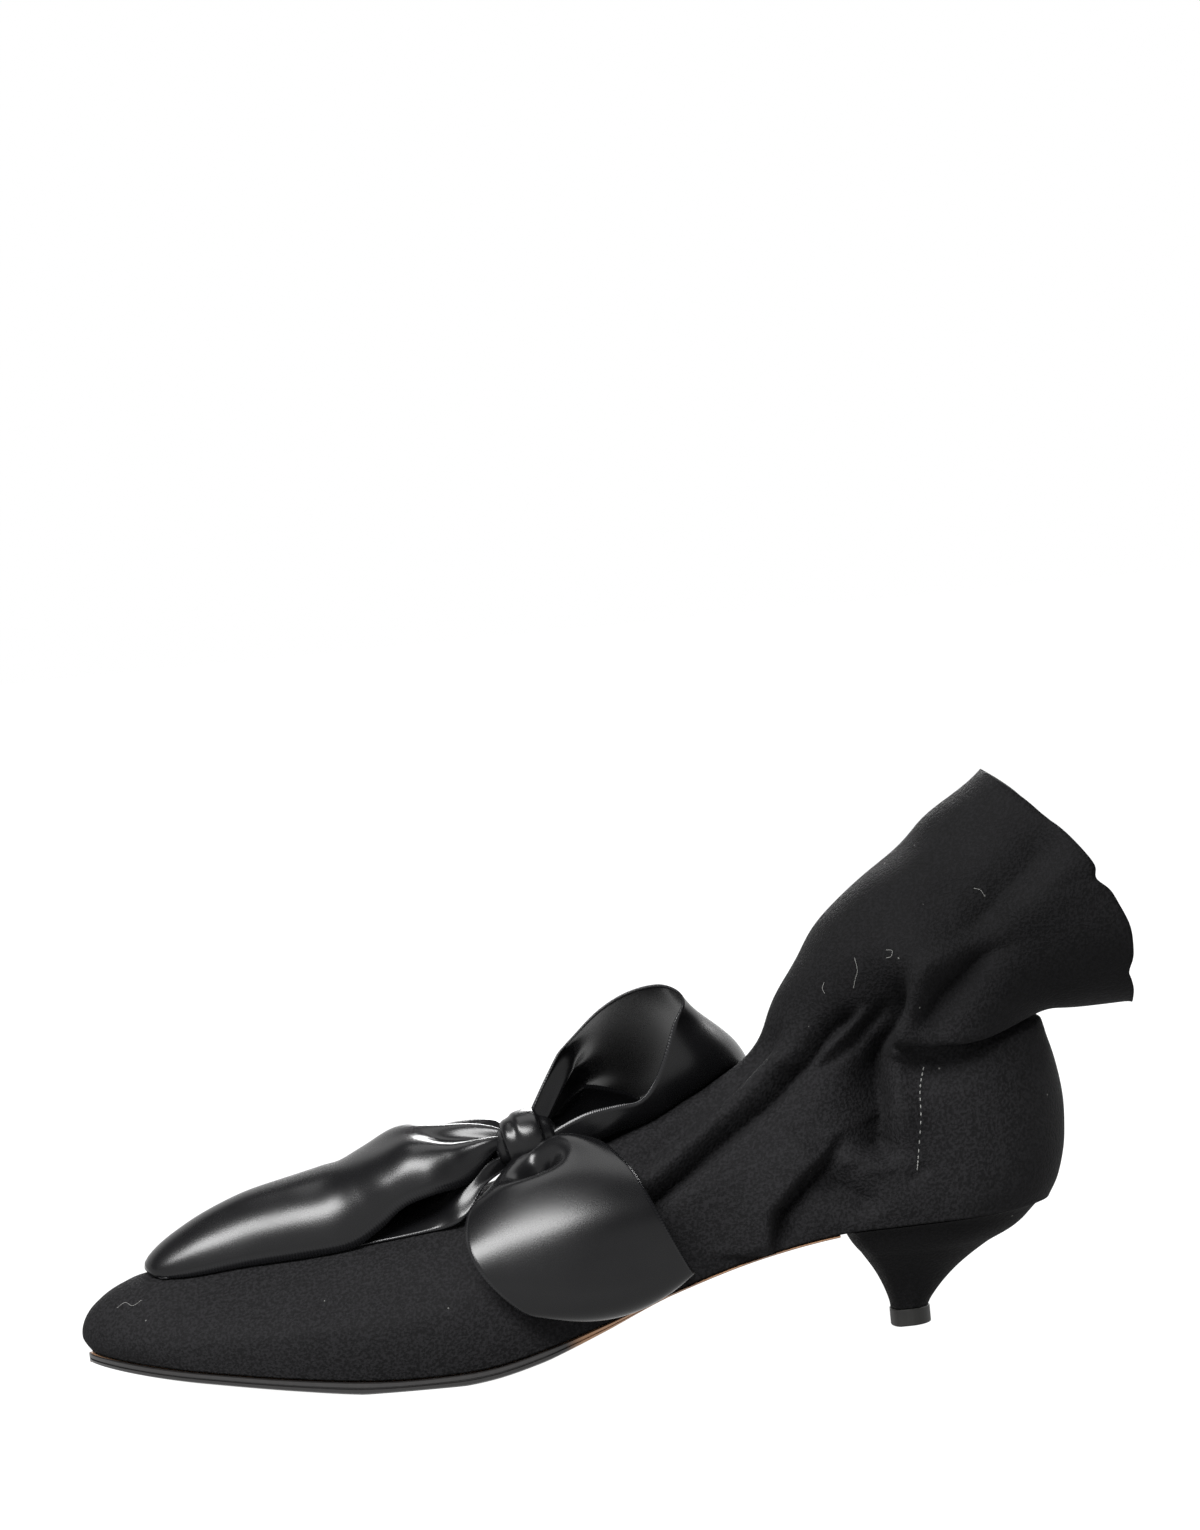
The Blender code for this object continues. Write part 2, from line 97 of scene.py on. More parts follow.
# Rings of the upper from the feather edge to the collar, close to those of the solid upper but with a
# fuller slack shaft. Each runs from a point on the vamp's ridge or the shaft's front fold to a point on
# the back seam. droop rounds the vamp over its ridge, swell pushes the middle of a ring out along the
# shaft, follow is its share of the sole's curve, nose and tail are the lengths of its round ends, and
# width scales the foot's half-widths.
Ring = namedtuple("Ring", "front_x front_z back_x back_z droop swell_x swell_z follow nose tail width")
RINGS = [
    Ring(2.5, 12.4, 247.5, 29.0, 0, 0, 0, 1.00, 30, 27, 0.965),
    Ring(0.4, 16.0, 250.3, 34.0, 0, 0, 0, 1.00, 30, 27, 1.000),
    Ring(1.3, 20.4, 252.4, 41.0, 2, 0, 0, 0.95, 31, 27, 1.005),
    Ring(4.7, 24.6, 253.2, 47.5, 5, 0, 0, 0.90, 33, 27, 1.000),
    Ring(11.4, 28.8, 253.4, 53.5, 10, 0, 0, 0.85, 38, 27, 0.990),
    Ring(23.0, 32.3, 253.0, 58.5, 14, 0, 0, 0.80, 44, 27, 0.980),
    Ring(48.0, 34.6, 252.3, 63.0, 18, 0, 0, 0.70, 50, 27, 0.970),
    Ring(76.0, 38.0, 251.6, 66.5, 18, 0, 0, 0.55, 50, 26, 0.960),
    Ring(102.0, 43.6, 250.9, 69.6, 17, 0, 0, 0.40, 48, 25, 0.940),
    Ring(127.0, 51.2, 250.4, 72.4, 15, 0, 0, 0.28, 44, 24, 0.920),
    Ring(148.0, 58.4, 249.8, 74.2, 12, 0, 0, 0.15, 38, 23, 0.890),
    Ring(163.0, 64.6, 248.0, 75.2, 9, 0, 0, 0.06, 33, 22, 0.860),
    Ring(172.0, 69.2, 246.4, 75.6, 6, 0, 0, 0, 30, 24, 0.850),
    Ring(177.0, 74.0, 247.4, 75.9, 3, 0, 0, 0, 30, 28, 0.870),
    Ring(182.0, 82.5, 250.6, 76.0, 1, 0, 0, 0, 30, 30, 0.920),
    Ring(188.5, 94.0, 255.5, 75.8, 0, 2, 2, 0, 32, 32, 1.000),
    Ring(196.5, 104.0, 262.0, 75.8, 0, 4, 3, 0, 34, 34, 1.060),
    Ring(208.0, 113.6, 268.5, 75.5, 0, 5, 4, 0, 35, 35, 1.100),
    Ring(223.0, 124.6, 271.6, 75.4, 0, 7.4, 4, 0, 36, 36, 1.120),
    Ring(240.0, 138.0, 272.6, 75.2, 0, 10.6, 3, 0, 35, 35, 1.080),
]
RISE_POWER = 1.7
COLLAR_RISE_POWER = 1.0
COLLAR_START = 14.0
UPPER_COLUMNS = 296
UPPER_ROWS = 160
FINE_STEPS = 400
# Columns crowd over the slack part, and painted shade darkens its crepe from the counter up.
SLACK_X = (135.0, 165.0)
SLACK_DENSITY = 1.6
SHAFT_PAINTED_SHADE = 0.42
SHAFT_PAINTED_SHADE_Z = (66.0, 90.0)
# Rounds that soften the normals and the vamp, and where along x the vamp is softened.
NORMAL_BLURS = 30
VAMP_BLURS = 110
VAMP_X = (14.0, 36.0, 128.0, 160.0)
# Waves of the slack crepe: radians to a millimetre along x, y and z, height, and where they rise.
LONG_WAVE = (0.21, 0.0, 0.13)
CROSS_WAVE = (-0.09, 0.05, 0.17)
LEVEL_WAVE = (0.0, 0.11, 0.31)
LEVEL_WAVE_SHARE = 0.6
WAVE_HEIGHT = 0.45
WAVE_X = (150.0, 185.0)
WAVE_Z = (40.0, 80.0)

# Folds of the slack crepe as lines in the photograph's view, put on the plane of the shoe's axis.
# height is above (+) or below (-) the plain surface, left and right are the spreads on either side
# of the line as it runs, and start and end are the shares of its length that fade in and out.
Crease = namedtuple("Crease", "line height left right start end")
LAP = ((198, 51), (192.8, 43.9), (188.7, 40.8), (184.6, 37.2), (180.5, 33), (178.1, 29.8), (177.2, 20))
INNER_LAP = ((196, 52), (188, 43), (181, 34), (178, 22))
OUTER_CREASES = [
    # The flop over the counter and the pull lines that run up the shaft from it.
    Crease(
        ((246, 96), (230, 92), (221, 87.8), (216.8, 77.3), (213.8, 72.9), (211.6, 66)),
        3.8, 3.4, 2.4, 0.5, 0.1,
    ),
    Crease(
        ((256, 95.5), (241.4, 91.7), (235.6, 88.9), (230.3, 84.6), (224.4, 80.3), (217, 72)),
        -5.4, 3.4, 2.4, 0.4, 0.1,
    ),
    Crease(((266, 112), (252, 105), (240, 98)), 2.6, 5.0, 4.5, 0.4, 0.4),
    Crease(((258, 124), (251, 112.1), (243.4, 105.3), (235.9, 99.1), (225, 95)), -4.4, 3.4, 5.0, 0.25, 0.35),
    Crease(((236, 118), (228, 108), (216, 102)), -1.8, 7.0, 7.0, 0.4, 0.4),
    # The deep trough in front of the counter and the stiff ridge beside it.
    Crease(
        ((218.2, 92), (214.2, 82.7), (209.8, 73.3), (208, 66.6), (206.6, 58.1), (206.2, 50), (208, 39)),
        -11.0, 1.6, 4.4, 0.3, 0.1,
    ),
    Crease(((213, 74), (211.4, 66), (211.3, 59.9), (212.2, 50), (213, 41)), 2.8, 3.4, 1.3, 0.25, 0.3),
    # The long slanting folds from the throat down to the waist.
    Crease(
        (
            (206, 82), (199.2, 77.3), (193.7, 73.8), (188.5, 67.9), (183.5, 63.8),
            (178.4, 58.5), (171.5, 53.5), (152, 39), (142, 31.5),
        ),
        -7.0, 1.0, 2.6, 0.15, 0.05,
    ),
    Crease(
        ((192, 82), (185.4, 71.7), (181.6, 68.6), (177.9, 66.1), (172.4, 61.5), (152, 46), (142, 38.5)),
        4.2, 2.6, 2.6, 0.3, 0.1,
    ),
    Crease(((185, 81), (178, 71), (170, 63.5), (152, 51.5), (142, 45)), -4.4, 2.0, 2.0, 0.3, 0.15),
    Crease(((210, 83), (204.9, 76.1), (201.6, 71.8), (198.5, 69.8), (189, 63)), -3.6, 1.0, 1.5, 0.25, 0.4),
    Crease(((205, 80), (202.8, 78.1), (196.4, 71.8), (188, 65)), 1.8, 1.2, 1.2, 0.3, 0.3),
    # The lap where the vamp's cloth hangs over the waist.
    Crease(LAP, 3.8, 0.5, 8.0, 0.3, 0.0),
    Crease(LAP, -5.6, 2.4, 0.5, 0.25, 0.0),
    Crease(((190, 40), (196, 42.4), (201, 42.4), (204.9, 41.2), (211, 39.2)), 3.0, 1.8, 2.0, 0.3, 0.3),
    Crease(((187, 38), (194, 36), (198.4, 33.5), (201.6, 30.9), (204.5, 27)), -3.8, 2.2, 2.4, 0.25, 0.3),
    Crease(((219, 40.5), (215.5, 37.3), (212, 35)), -1.3, 0.8, 1.2, 0.3, 0.3),
]
INNER_CREASES = [
    Crease(((246, 96), (229, 90), (220, 82), (214, 70)), 3.0, 3.4, 2.8, 0.5, 0.2),
    Crease(((254, 95), (236, 87), (224, 79), (216, 70)), -4.0, 3.6, 2.8, 0.4, 0.15),
    Crease(((218, 92), (212, 80), (206, 68), (204, 57), (204, 45)), -7.0, 2.2, 4.6, 0.25, 0.2),
    Crease(((206, 84), (194, 73), (182, 62), (160, 46)), -5.0, 2.2, 2.8, 0.2, 0.25),
    Crease(((192, 80), (180, 67), (158, 52)), 2.8, 3.2, 3.2, 0.3, 0.3),
    Crease(INNER_LAP, 3.2, 0.8, 7.0, 0.3, 0.0),
    Crease(INNER_LAP, -4.6, 5.6, 0.8, 0.25, 0.0),
    Crease(((188, 37), (197, 40), (207, 38)), 2.4, 2.2, 2.4, 0.35, 0.35),
    Crease(((256, 120), (243, 106), (226, 97)), -3.4, 4.0, 5.0, 0.35, 0.35),
]
LINE_STEPS = 28
RIDGE_POWER = 2
TROUGH_POWER = 1.35
FOLD_FALL = 0.6
SHORTEST_FADE = 0.01
SIDE_FADE = 7.0
# Shares of a fold's push along x, y and z, rows above the feather edge that damp troughs and ridges, and
# rows below the rim that its dents reach.
FOLD_PUSH = (1, 1, 0.2)
TROUGH_ROWS = 9
RIDGE_ROWS = 6
RIM_ROWS = 16

# The slack shaft's lip that hangs over the counter: drop, overhang, and where along x and over the
# rings it rises and fades.
LIP_DROP = 6.6
LIP_OVERHANG = 6.4
LIP_X = (203.0, 221.0, 226.0, 254.0)
LIP_RINGS = (12.7, 14.1, 14.7, 17.6)
# The tuck under the lip, where folds are held flat.
TUCK_RINGS = (10.4, 11.0, 13.2, 13.9)
TUCK_X = (211.0, 217.0)
# Dents of the collar's rim: height, depth and spread.
RIM_DENTS = ((109.6, 1.9, 2.2), (84.6, 1.4, 3.0), (126.0, 0.8, 4.0), (97.0, -0.7, 5.0))
# The photograph's eye, in shoe millimetres.
EYE = np.array((145.2, -1597.8, 231.7))

# The outsole's edge from its top face down: share of its thickness, inset, and share of black paint.
EdgeStep = namedtuple("EdgeStep", "share inset paint")
SOLE_EDGE = [
    EdgeStep(0.00, 0.5, 1.0),
    EdgeStep(0.05, 0.0, 1.0),
    EdgeStep(0.38, 0.0, 1.0),
    EdgeStep(0.44, 0.5, 1.0),
    EdgeStep(0.52, 0.5, 1.0),
    EdgeStep(0.58, 0.05, 1.0),
    EdgeStep(0.86, 0.25, 1.0),
    EdgeStep(1.00, 0.9, 0.7),
    EdgeStep(1.00, 2.2, 0.0),
]
SOLE_ROWS = 150
SOLE_FACE_STEPS = 8
SOLE_TIP_INSET = 0.9
WAIST_THINNING = 1.3
SOLE_INSET_SHARE = 0.5
SOLE_INSET_LEAST = 0.02
PAINT_END_X = (112.0, 136.0)

# The covered heel from its seat down. follow is the share of the feather edge's curve in its height.
HeelRow = namedtuple("HeelRow", "front_x back_x z width nose follow")
HEEL = [
    HeelRow(193.7, 246.4, 27.7, 0.950, 4.0, 1),
    HeelRow(195.6, 240.6, 24.2, 0.840, 4.0, 0),
    HeelRow(198.8, 231.3, 19.2, 0.640, 4.0, 0),
    HeelRow(201.6, 224.2, 14.6, 0.470, 3.5, 0),
    HeelRow(203.5, 219.3, 10.4, 0.355, 3.0, 0),
    HeelRow(204.7, 215.9, 6.6, 0.290, 2.5, 0),
    HeelRow(205.0, 214.6, 4.6, 0.275, 2.5, 0),
]
HEEL_TAIL_SHARE = 0.55
HEEL_COLUMNS = 72
HEEL_ROWS = 60
# Painted shade: the heel's crepe colour is divided by this, darker than the upper's.
HEEL_PAINTED_SHADE = 1.9

# The two selvedges of each ribbon loop from the knot, out round its fold and back to the knot.
# crown bows the middle of the ribbon outwards, lie is the share that it lies on the upper, and a
# height of None rests that selvedge on the upper.
Fold = namedtuple("Fold", "near far crown lie")
FRONT_LOOP = [
    Fold((114.0, -12, 56.0), (114.0, -8, 58.5), 0, 0),
    Fold((110.5, -14, 56.0), (110.0, -1, 60.0), 1, 0),
    Fold((106.6, -15, 51.6), (105.0, 7, 58.0), 8, 0),
    Fold((102.0, -17, 47.8), (98.0, 14, 54.0), 13.5, 0),
    Fold((93.4, -19, 46.2), (90.0, 19, 50.0), 16.5, 0),
    Fold((85.6, -18, 43.6), (82.0, 22, 45.0), 16, 0),
    Fold((79.0, -16, 38.4), (75.0, 22, 41.6), 16.4, 0),
    Fold((71.0, -14, None), (68.0, 22, 41.0), 16.6, 0),
    Fold((59.0, -12, None), (59.0, 22, 37.6), 16.6, 0),
    Fold((45.0, -9, None), (46.0, 21, 34.0), 15.6, 0),
    Fold((32.0, -7, None), (34.0, 18, 33.0), 12, 0),
    Fold((25.0, -5, None), (26.0, 14, 32.0), 7.4, 0),
    Fold((21.8, -3, None), (22.0, 11, 31.5), 4, 0),
    Fold((25.0, -5, None), (26.0, 13, None), 0, 0.8),
    Fold((46.0, -8, None), (47.0, 20, None), 0, 1),
    Fold((70.0, -13, None), (71.0, 22, 42.0), 0, 0.8),
    Fold((92.0, -17, None), (93.0, 19, 48.0), -4, 0.2),
    Fold((100.5, -20, 40.0), (101.0, 12, 54.0), -4, 0),
    Fold((106.2, -17, 47.4), (107.5, 2, 55.0), -2, 0),
    Fold((115.0, -11, 52.5), (115.5, -7, 53.5), 0, 0),
]
BACK_LOOP = [
    Fold((120.0, -13, 54.5), (120.0, -7, 57.0), 0, 0),
    Fold((127.0, -14, 58.5), (126.5, -2, 65.0), 8, 0),
    Fold((134.0, -14, 61.4), (133.0, 4, 67.6), 12, 0),
    Fold((141.0, -13, 62.8), (143.0, 12, 64.4), 11, 0),
    Fold((147.0, -12, 64.0), (153.0, 20, 58.6), 9, 0),
    Fold((151.0, -11, 68.3), (165.0, 26, 59.0), 9, 0),
    Fold((154.2, -11, 74.8), (175.5, 26, 61.5), 8, 0),
    Fold((157.0, -10, 81.8), (173.0, 28, 68.0), 6, 0),
    Fold((160.2, -9, 88.2), (167.0, 30, 72.0), 1, 0),
    Fold((155.2, -8, 92.0), (163.5, 32, 71.4), -1, 0),
    Fold((146.5, -8, 91.0), (159.0, 31, 67.0), 1, 0),
    Fold((138.0, -8, 86.6), (150.0, 26, 61.5), 3, 0),
    Fold((131.0, -9, 79.8), (140.0, 18, 59.5), 3, 0),
    Fold((126.5, -10, 72.3), (130.0, 6, 60.5), 1.5, 0),
    Fold((119.5, -12, 59.5), (120.0, -8, 60.5), 0, 0),
]
SIDE_LOOP = [
    Fold((115.0, -14, 51.5), (118.0, -14, 52.0), 0, 0),
    Fold((112.0, -22, 44.0), (130.0, -20, 50.0), 0, 0),
    Fold((108.0, -31, 36.0), (139.5, -26, 46.0), 0, 0),
    Fold((108.0, -37, 28.0), (146.5, -29, 37.5), 0, 0),
    Fold((112.0, -38, 20.5), (151.5, -30, 28.5), 2, 0),
    Fold((119.0, -39, 16.0), (156.0, -31, 22.6), 5, 0),
    Fold((113.0, -41, 17.8), (155.4, -33, 23.6), 5, 0),
    Fold((104.8, -41, 26.4), (151.8, -36, 31.5), 3, 0),
    Fold((101.0, -37, 34.4), (147.6, -35, 41.0), 3, 0),
    Fold((101.8, -29, 42.0), (142.0, -28, 50.6), 4, 0),
    Fold((107.4, -21, 46.6), (133.6, -19, 56.0), 4, 0),
    Fold((115.0, -14, 54.0), (119.0, -14, 55.5), 0, 0),
]
RIBBON_WIDTH = 47.0
RIBBON_ROWS = 260
RIBBON_COLUMNS = 40
LENGTH_STEPS = 20
CROWN_BLURS = 60
RELAX_ROUNDS = 3
# Gathers at the knot: waves across the ribbon, their most height, their phase, the shares of the width
# between which they grow, and the distances from the knot where they rise and fade.
GATHER_COUNT = 2.6
GATHER_MOST = 2.4
GATHER_PHASE = 0.8
GATHER_WIDTHS = (0.95, 0.6)
GATHER_RISE = (0.0, 4.0)
GATHER_REACH = (18.0, 42.0)

# Soft hollows (-) and swells (+) of a ribbon: shares of its length and width, height and spreads.
Dent = namedtuple("Dent", "along across height long wide")
FRONT_DENTS = [
    Dent(0.10, 0.62, -1.2, 0.03, 0.20),
    Dent(0.15, 0.40, -1.8, 0.035, 0.16),
]
BACK_DENTS = [
    Dent(0.36, 0.45, -1.2, 0.05, 0.2),
]
SIDE_DENTS = [
    Dent(0.905, 0.47, -12.5, 0.026, 0.12),
    Dent(0.92, 0.78, 2.4, 0.035, 0.14),
]

# The loops, how strongly each is gathered, and the power of the arch across it.
Loop = namedtuple("Loop", "name folds dents gathers arch")
LOOPS = [
    Loop("front", FRONT_LOOP, FRONT_DENTS, 0.55, 0.6),
    Loop("back", BACK_LOOP, BACK_DENTS, 0.85, 1.0),
    Loop("side", SIDE_LOOP, SIDE_DENTS, 0.0, 1.0),
]

# The knot's wrap as oval rings along its axis, and the pleats round it.
KnotRing = namedtuple("KnotRing", "along across height")
KNOT_CENTRE = (117.5, -10.0, 56.3)
KNOT_TILT_DEG = 14.0
KNOT = [
    KnotRing(-8.2, 2.0, 2.0),
    KnotRing(-7.2, 4.0, 4.0),
    KnotRing(-5.2, 5.6, 5.4),
    KnotRing(-4.6, 7.0, 6.8),
    KnotRing(-2.2, 7.9, 7.9),
    KnotRing(1.4, 8.1, 8.1),
    KnotRing(4.4, 7.4, 7.4),
    KnotRing(5.0, 5.6, 5.6),
    KnotRing(7.0, 4.2, 4.2),
    KnotRing(8.2, 2.0, 2.0),
]
KNOT_ROWS = 96
KNOT_COLUMNS = 120
Pleat = namedtuple("Pleat", "along drift depth spread")
PLEATS = [
    Pleat(-2.4, 0.9, -0.5, 0.5),
]
PLEAT_TWIST = 0.6
PLEAT_LEAN = 2.6
KNOT_CLOSING = (3.0, 4.2)

# The counter's stitches in the same view as the folds, and the share of the pitch that is thread.
STITCH_REACH = 0.02
STITCH_FILL = 0.6
STITCH_LINE = ((219.2, 64.5), (217.7, 58.7), (217.2, 51.3), (215.7, 42.2), (215.0, 38.2))

# Loose fibres in the same view as the folds.
LINT = [
    ((204.4, 93.4), (204.8, 90.2), (203.9, 87.6), (203.4, 85.8)),
    ((212.6, 94.6), (214.0, 94.3), (213.6, 92.9), (212.4, 92.6)),
    ((196.2, 88.0), (195.6, 86.6), (196.0, 85.2)),
    ((10.2, 23.2), (12.4, 24.4), (14.2, 23.4), (16.6, 24.6)),
    ((236.0, 108.0), (237.6, 107.4), (238.4, 106.0)),
]
LINT_RADIUS = 0.07
LINT_STEPS = 8

# Place of the photograph's frame: pixels of a known point of the shoe, and pixels to a millimetre.
PHOTO_WIDTH = 1200
PHOTO_HEIGHT = 1530
PHOTO_SCALE = 3.95
BALL_PIXEL = (400, 1372)
BALL_POINT = (79.8, 0.0, 0.0)

# Heights on the sky's ball between which white turns to the ceiling's grey, and how much higher the
# white stands behind the shoe.
BACKDROP_FADE = (0.18, 0.45)
BACKDROP_RISE = 0.55
FLOOR_HALF = 6.0
# Soft boxes in metres and watts.
SoftBox = namedtuple("SoftBox", "name place aim width depth power")
STUDIO_LIGHTS = [
    SoftBox("key", (-0.45, -0.8, 0.95), (0, 0, 0.05), 1.1, 0.4, 54.0),
    SoftBox("overhead", (0.0, 0.1, 1.1), (0, 0, 0.05), 1.0, 0.6, 6.0),
    SoftBox("inner_side", (0.2, 1.1, 0.7), (0, 0, 0.06), 0.7, 0.5, 26.0),
    SoftBox("right_back", (1.0, 0.75, 0.75), (0, 0, 0.07), 0.4, 0.4, 12.0),
]


def box_middle(node):
    low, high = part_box(node)
    return (low + high) / 2


SHIFT = np.array(
    (
        box_middle("top_piece").x / MM - TOP_PIECE_MIDDLE_X,
        box_middle("bow_knot").y / MM - KNOT_CENTRE[1],
        0.0,
    )
)


def in_metres(points):
    """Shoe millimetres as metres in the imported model's place."""
    return (np.asarray(points, float) + SHIFT) * MM


def in_shoe(point):
    """A place in metres as shoe millimetres."""
    return np.asarray(point, float) / MM - SHIFT


def smooth_at(keys, values, at):
    """Smooth curve through rows of values at rising keys, read at many places."""
    keys = np.asarray(keys, float)
    values = np.asarray(values, float)
    at = np.asarray(at, float)
    last = len(keys) - 1
    low = np.maximum(np.arange(last + 1) - 1, 0)
    high = np.minimum(np.arange(last + 1) + 1, last)
    wide = (slice(None),) + (None,) * (values.ndim - 1)
    slopes = (values[high] - values[low]) / (keys[high] - keys[low])[wide]
    i = np.clip(np.searchsorted(keys, at, side="right") - 1, 0, last - 1)
    step = keys[i + 1] - keys[i]
    t = np.clip((at - keys[i]) / step, 0, 1)
    extra = (...,) + (None,) * (values.ndim - 1)
    t, step = t[extra], step[extra]
    return (
        values[i] * (2 * t**3 - 3 * t**2 + 1)
        + slopes[i] * step * (t**3 - 2 * t**2 + t)
        + values[i + 1] * (3 * t**2 - 2 * t**3)
        + slopes[i + 1] * step * (t**3 - t**2)
    )


def read_rows(table, places):
    """Rows of a table read smoothly at fractional row numbers."""
    return smooth_at(np.arange(len(table)), table, places)


def read_columns(table, places):
    """A row of the table's own kind that holds its columns, read at fractional row numbers."""
    return type(table[0])(*(column[:, None] for column in read_rows(table, places).T))


def foot(x, column):
    """One column of the foot table at distances from the toe."""
    return smooth_at([row.x for row in FOOT], [getattr(row, column) for row in FOOT], x)


def ease(low, high, value):
    """0 at low and before it, 1 at high and past it, and a soft step between."""
    t = np.clip((value - low) / (high - low), 0, 1)
    return t * t * (3 - 2 * t)


def plateau(places, value):
    """0 outside the first and last of four rising places, 1 between the middle two."""
    return ease(places[0], places[1], value) * (1 - ease(places[2], places[3], value))


def round_end(distance, length):
    """Share of the full width at a distance from a round end."""
    return np.sqrt(np.maximum(0, 1 - (1 - np.clip(distance / length, 0, 1)) ** 2))


def round_ends(x, front_x, back_x, nose, tail):
    """Share of the full width between a round front end and a round back end."""
    return round_end(x - front_x, nose) * round_end(back_x - x, tail)


def crowded(steps):
    """Shares from 0 to 1 that crowd towards both ends."""
    return (1 - np.cos(np.linspace(0, math.pi, steps + 1))) / 2


def closed_turns(steps):
    """Turns of a ring from 0, the front, to 1, the back, and home to 2."""
    half = crowded(steps)
    return np.concatenate((half, 2 - half[-2::-1]))


def half_width(turn, x):
    """Signed half-width of the foot at turns of a ring, whose first half is the outer side."""
    return np.where(turn <= 1, -foot(x, "lateral"), foot(x, "medial"))


def unit(vectors):
    return vectors / np.maximum(np.linalg.norm(vectors, axis=-1, keepdims=True), 1e-9)


def ring_surface(ring, turn, power):
    """Points of rings at turns from 0, the front, along the outer side to 1, the back, and home to 2."""
    share = 1 - np.abs(1 - turn)
    chord = np.hypot(ring.back_x - ring.front_x, ring.back_z - ring.front_z)
    front = round_end(share * chord, ring.nose)
    back = round_end((1 - share) * chord, ring.tail)
    middle = 4 * share * (1 - share)
    x = ring.front_x + (ring.back_x - ring.front_x) * share + ring.swell_x * middle
    rise = share**power
    base = foot(ring.front_x, "feather") * (1 - rise) + foot(ring.back_x, "feather") * rise
    z = (
        ring.front_z
        + (ring.back_z - ring.front_z) * rise
        + ring.swell_z * middle
        + ring.follow * (foot(x, "feather") - base)
        - ring.droop * front**2 * (1 - share)
    )
    half = half_width(turn, x) * ring.width * front * back
    return np.stack((x, foot(x, "bend") + half, z), axis=-1)


def upper_grid():
    """The plain outer surface of the upper, rows by columns, with columns crowded over the slack part."""
    levels = np.linspace(0, len(RINGS) - 1, UPPER_ROWS + 1)
    ring = read_columns(RINGS, levels)
    collar = ease(COLLAR_START, len(RINGS) - 1, levels)[:, None]
    power = RISE_POWER + (COLLAR_RISE_POWER - RISE_POWER) * collar
    fine = closed_turns(FINE_STEPS)
    points = ring_surface(ring, fine[None, :], power)
    steps = np.linalg.norm(np.diff(points, axis=1), axis=2)
    steps *= 1 + SLACK_DENSITY * ease(*SLACK_X, points[:, 1:, 0])
    lengths = np.concatenate((np.zeros((len(levels), 1)), np.cumsum(steps, axis=1)), axis=1)
    wanted = np.linspace(0, 1, UPPER_COLUMNS + 1)
    turns = np.array([np.interp(wanted * length[-1], length, fine) for length in lengths])
    points = ring_surface(ring, turns, power)
    for _ in range(VAMP_BLURS):
        inner = points[1:-1]
        pull = (points[:-2] + points[2:]) / 2 - inner
        points[1:-1] = inner + 0.5 * pull * plateau(VAMP_X, inner[..., :1])
    return points


def closed_normals(points):
    """Softened outward normals of a grid whose first and last columns are the same."""
    ring = points[:, :-1]
    along = np.roll(ring, -1, axis=1) - np.roll(ring, 1, axis=1)
    up = np.gradient(ring, axis=0)
    normals = unit(np.cross(along, up))
    for _ in range(NORMAL_BLURS):
        normals = normals + np.roll(normals, 1, axis=1) + np.roll(normals, -1, axis=1)
        normals[1:-1] = normals[1:-1] + normals[:-2] + normals[2:]
        normals = unit(normals)
    return np.concatenate((normals, normals[:, :1]), axis=1)


def line_distance(places, line):
    """Signed distance to a smooth line, positive on its left, and the share of its length there."""
    path = read_rows(line, np.linspace(0, len(line) - 1, LINE_STEPS + 1))
    nearest = np.full(places.shape[:-1], np.inf)
    share = np.zeros(places.shape[:-1])
    for i in range(LINE_STEPS):
        step = path[i + 1] - path[i]
        offset = places - path[i]
        t = np.clip((offset @ step) / (step @ step), 0, 1)
        distance = np.linalg.norm(offset - t[..., None] * step, axis=-1)
        left = np.where(step[0] * offset[..., 1] > step[1] * offset[..., 0], 1.0, -1.0)
        closer = distance < np.abs(nearest)
        nearest = np.where(closer, distance * left, nearest)
        share = np.where(closer, (i + t) / LINE_STEPS, share)
    return nearest, share


def crease_lift(points, creases, side):
    """Height of the folds on one side of the shoe, for each point of the upper."""
    magnify = EYE[1] / (EYE[1] + np.abs(points[..., 1:2]))
    places = EYE[[0, 2]] + (points[..., [0, 2]] - EYE[[0, 2]]) * magnify
    lift = np.zeros(points.shape[:-1])
    for crease in creases:
        distance, share = line_distance(places, crease.line)
        spread = np.where(distance > 0, crease.left, crease.right)
        rise = ease(0, max(crease.start, SHORTEST_FADE), share)
        fall = ease(0, max(crease.end, SHORTEST_FADE), 1 - share)
        power = RIDGE_POWER if crease.height > 0 else TROUGH_POWER
        lift += crease.height * np.exp(-FOLD_FALL * np.abs(distance / spread) ** power) * rise * fall
    from_axis = side * (points[..., 1] - foot(points[..., 0], "bend"))
    return lift * ease(0, SIDE_FADE, from_axis)


def slack_waves(points):
    """Slight unevenness of the unsupported crepe, nothing on the stiff toe."""
    waves = np.sin(points @ LONG_WAVE) * np.sin(points @ CROSS_WAVE)
    waves += LEVEL_WAVE_SHARE * np.sin(points @ LEVEL_WAVE)
    return WAVE_HEIGHT * waves * ease(*WAVE_X, points[..., 0]) * ease(*WAVE_Z, points[..., 2])


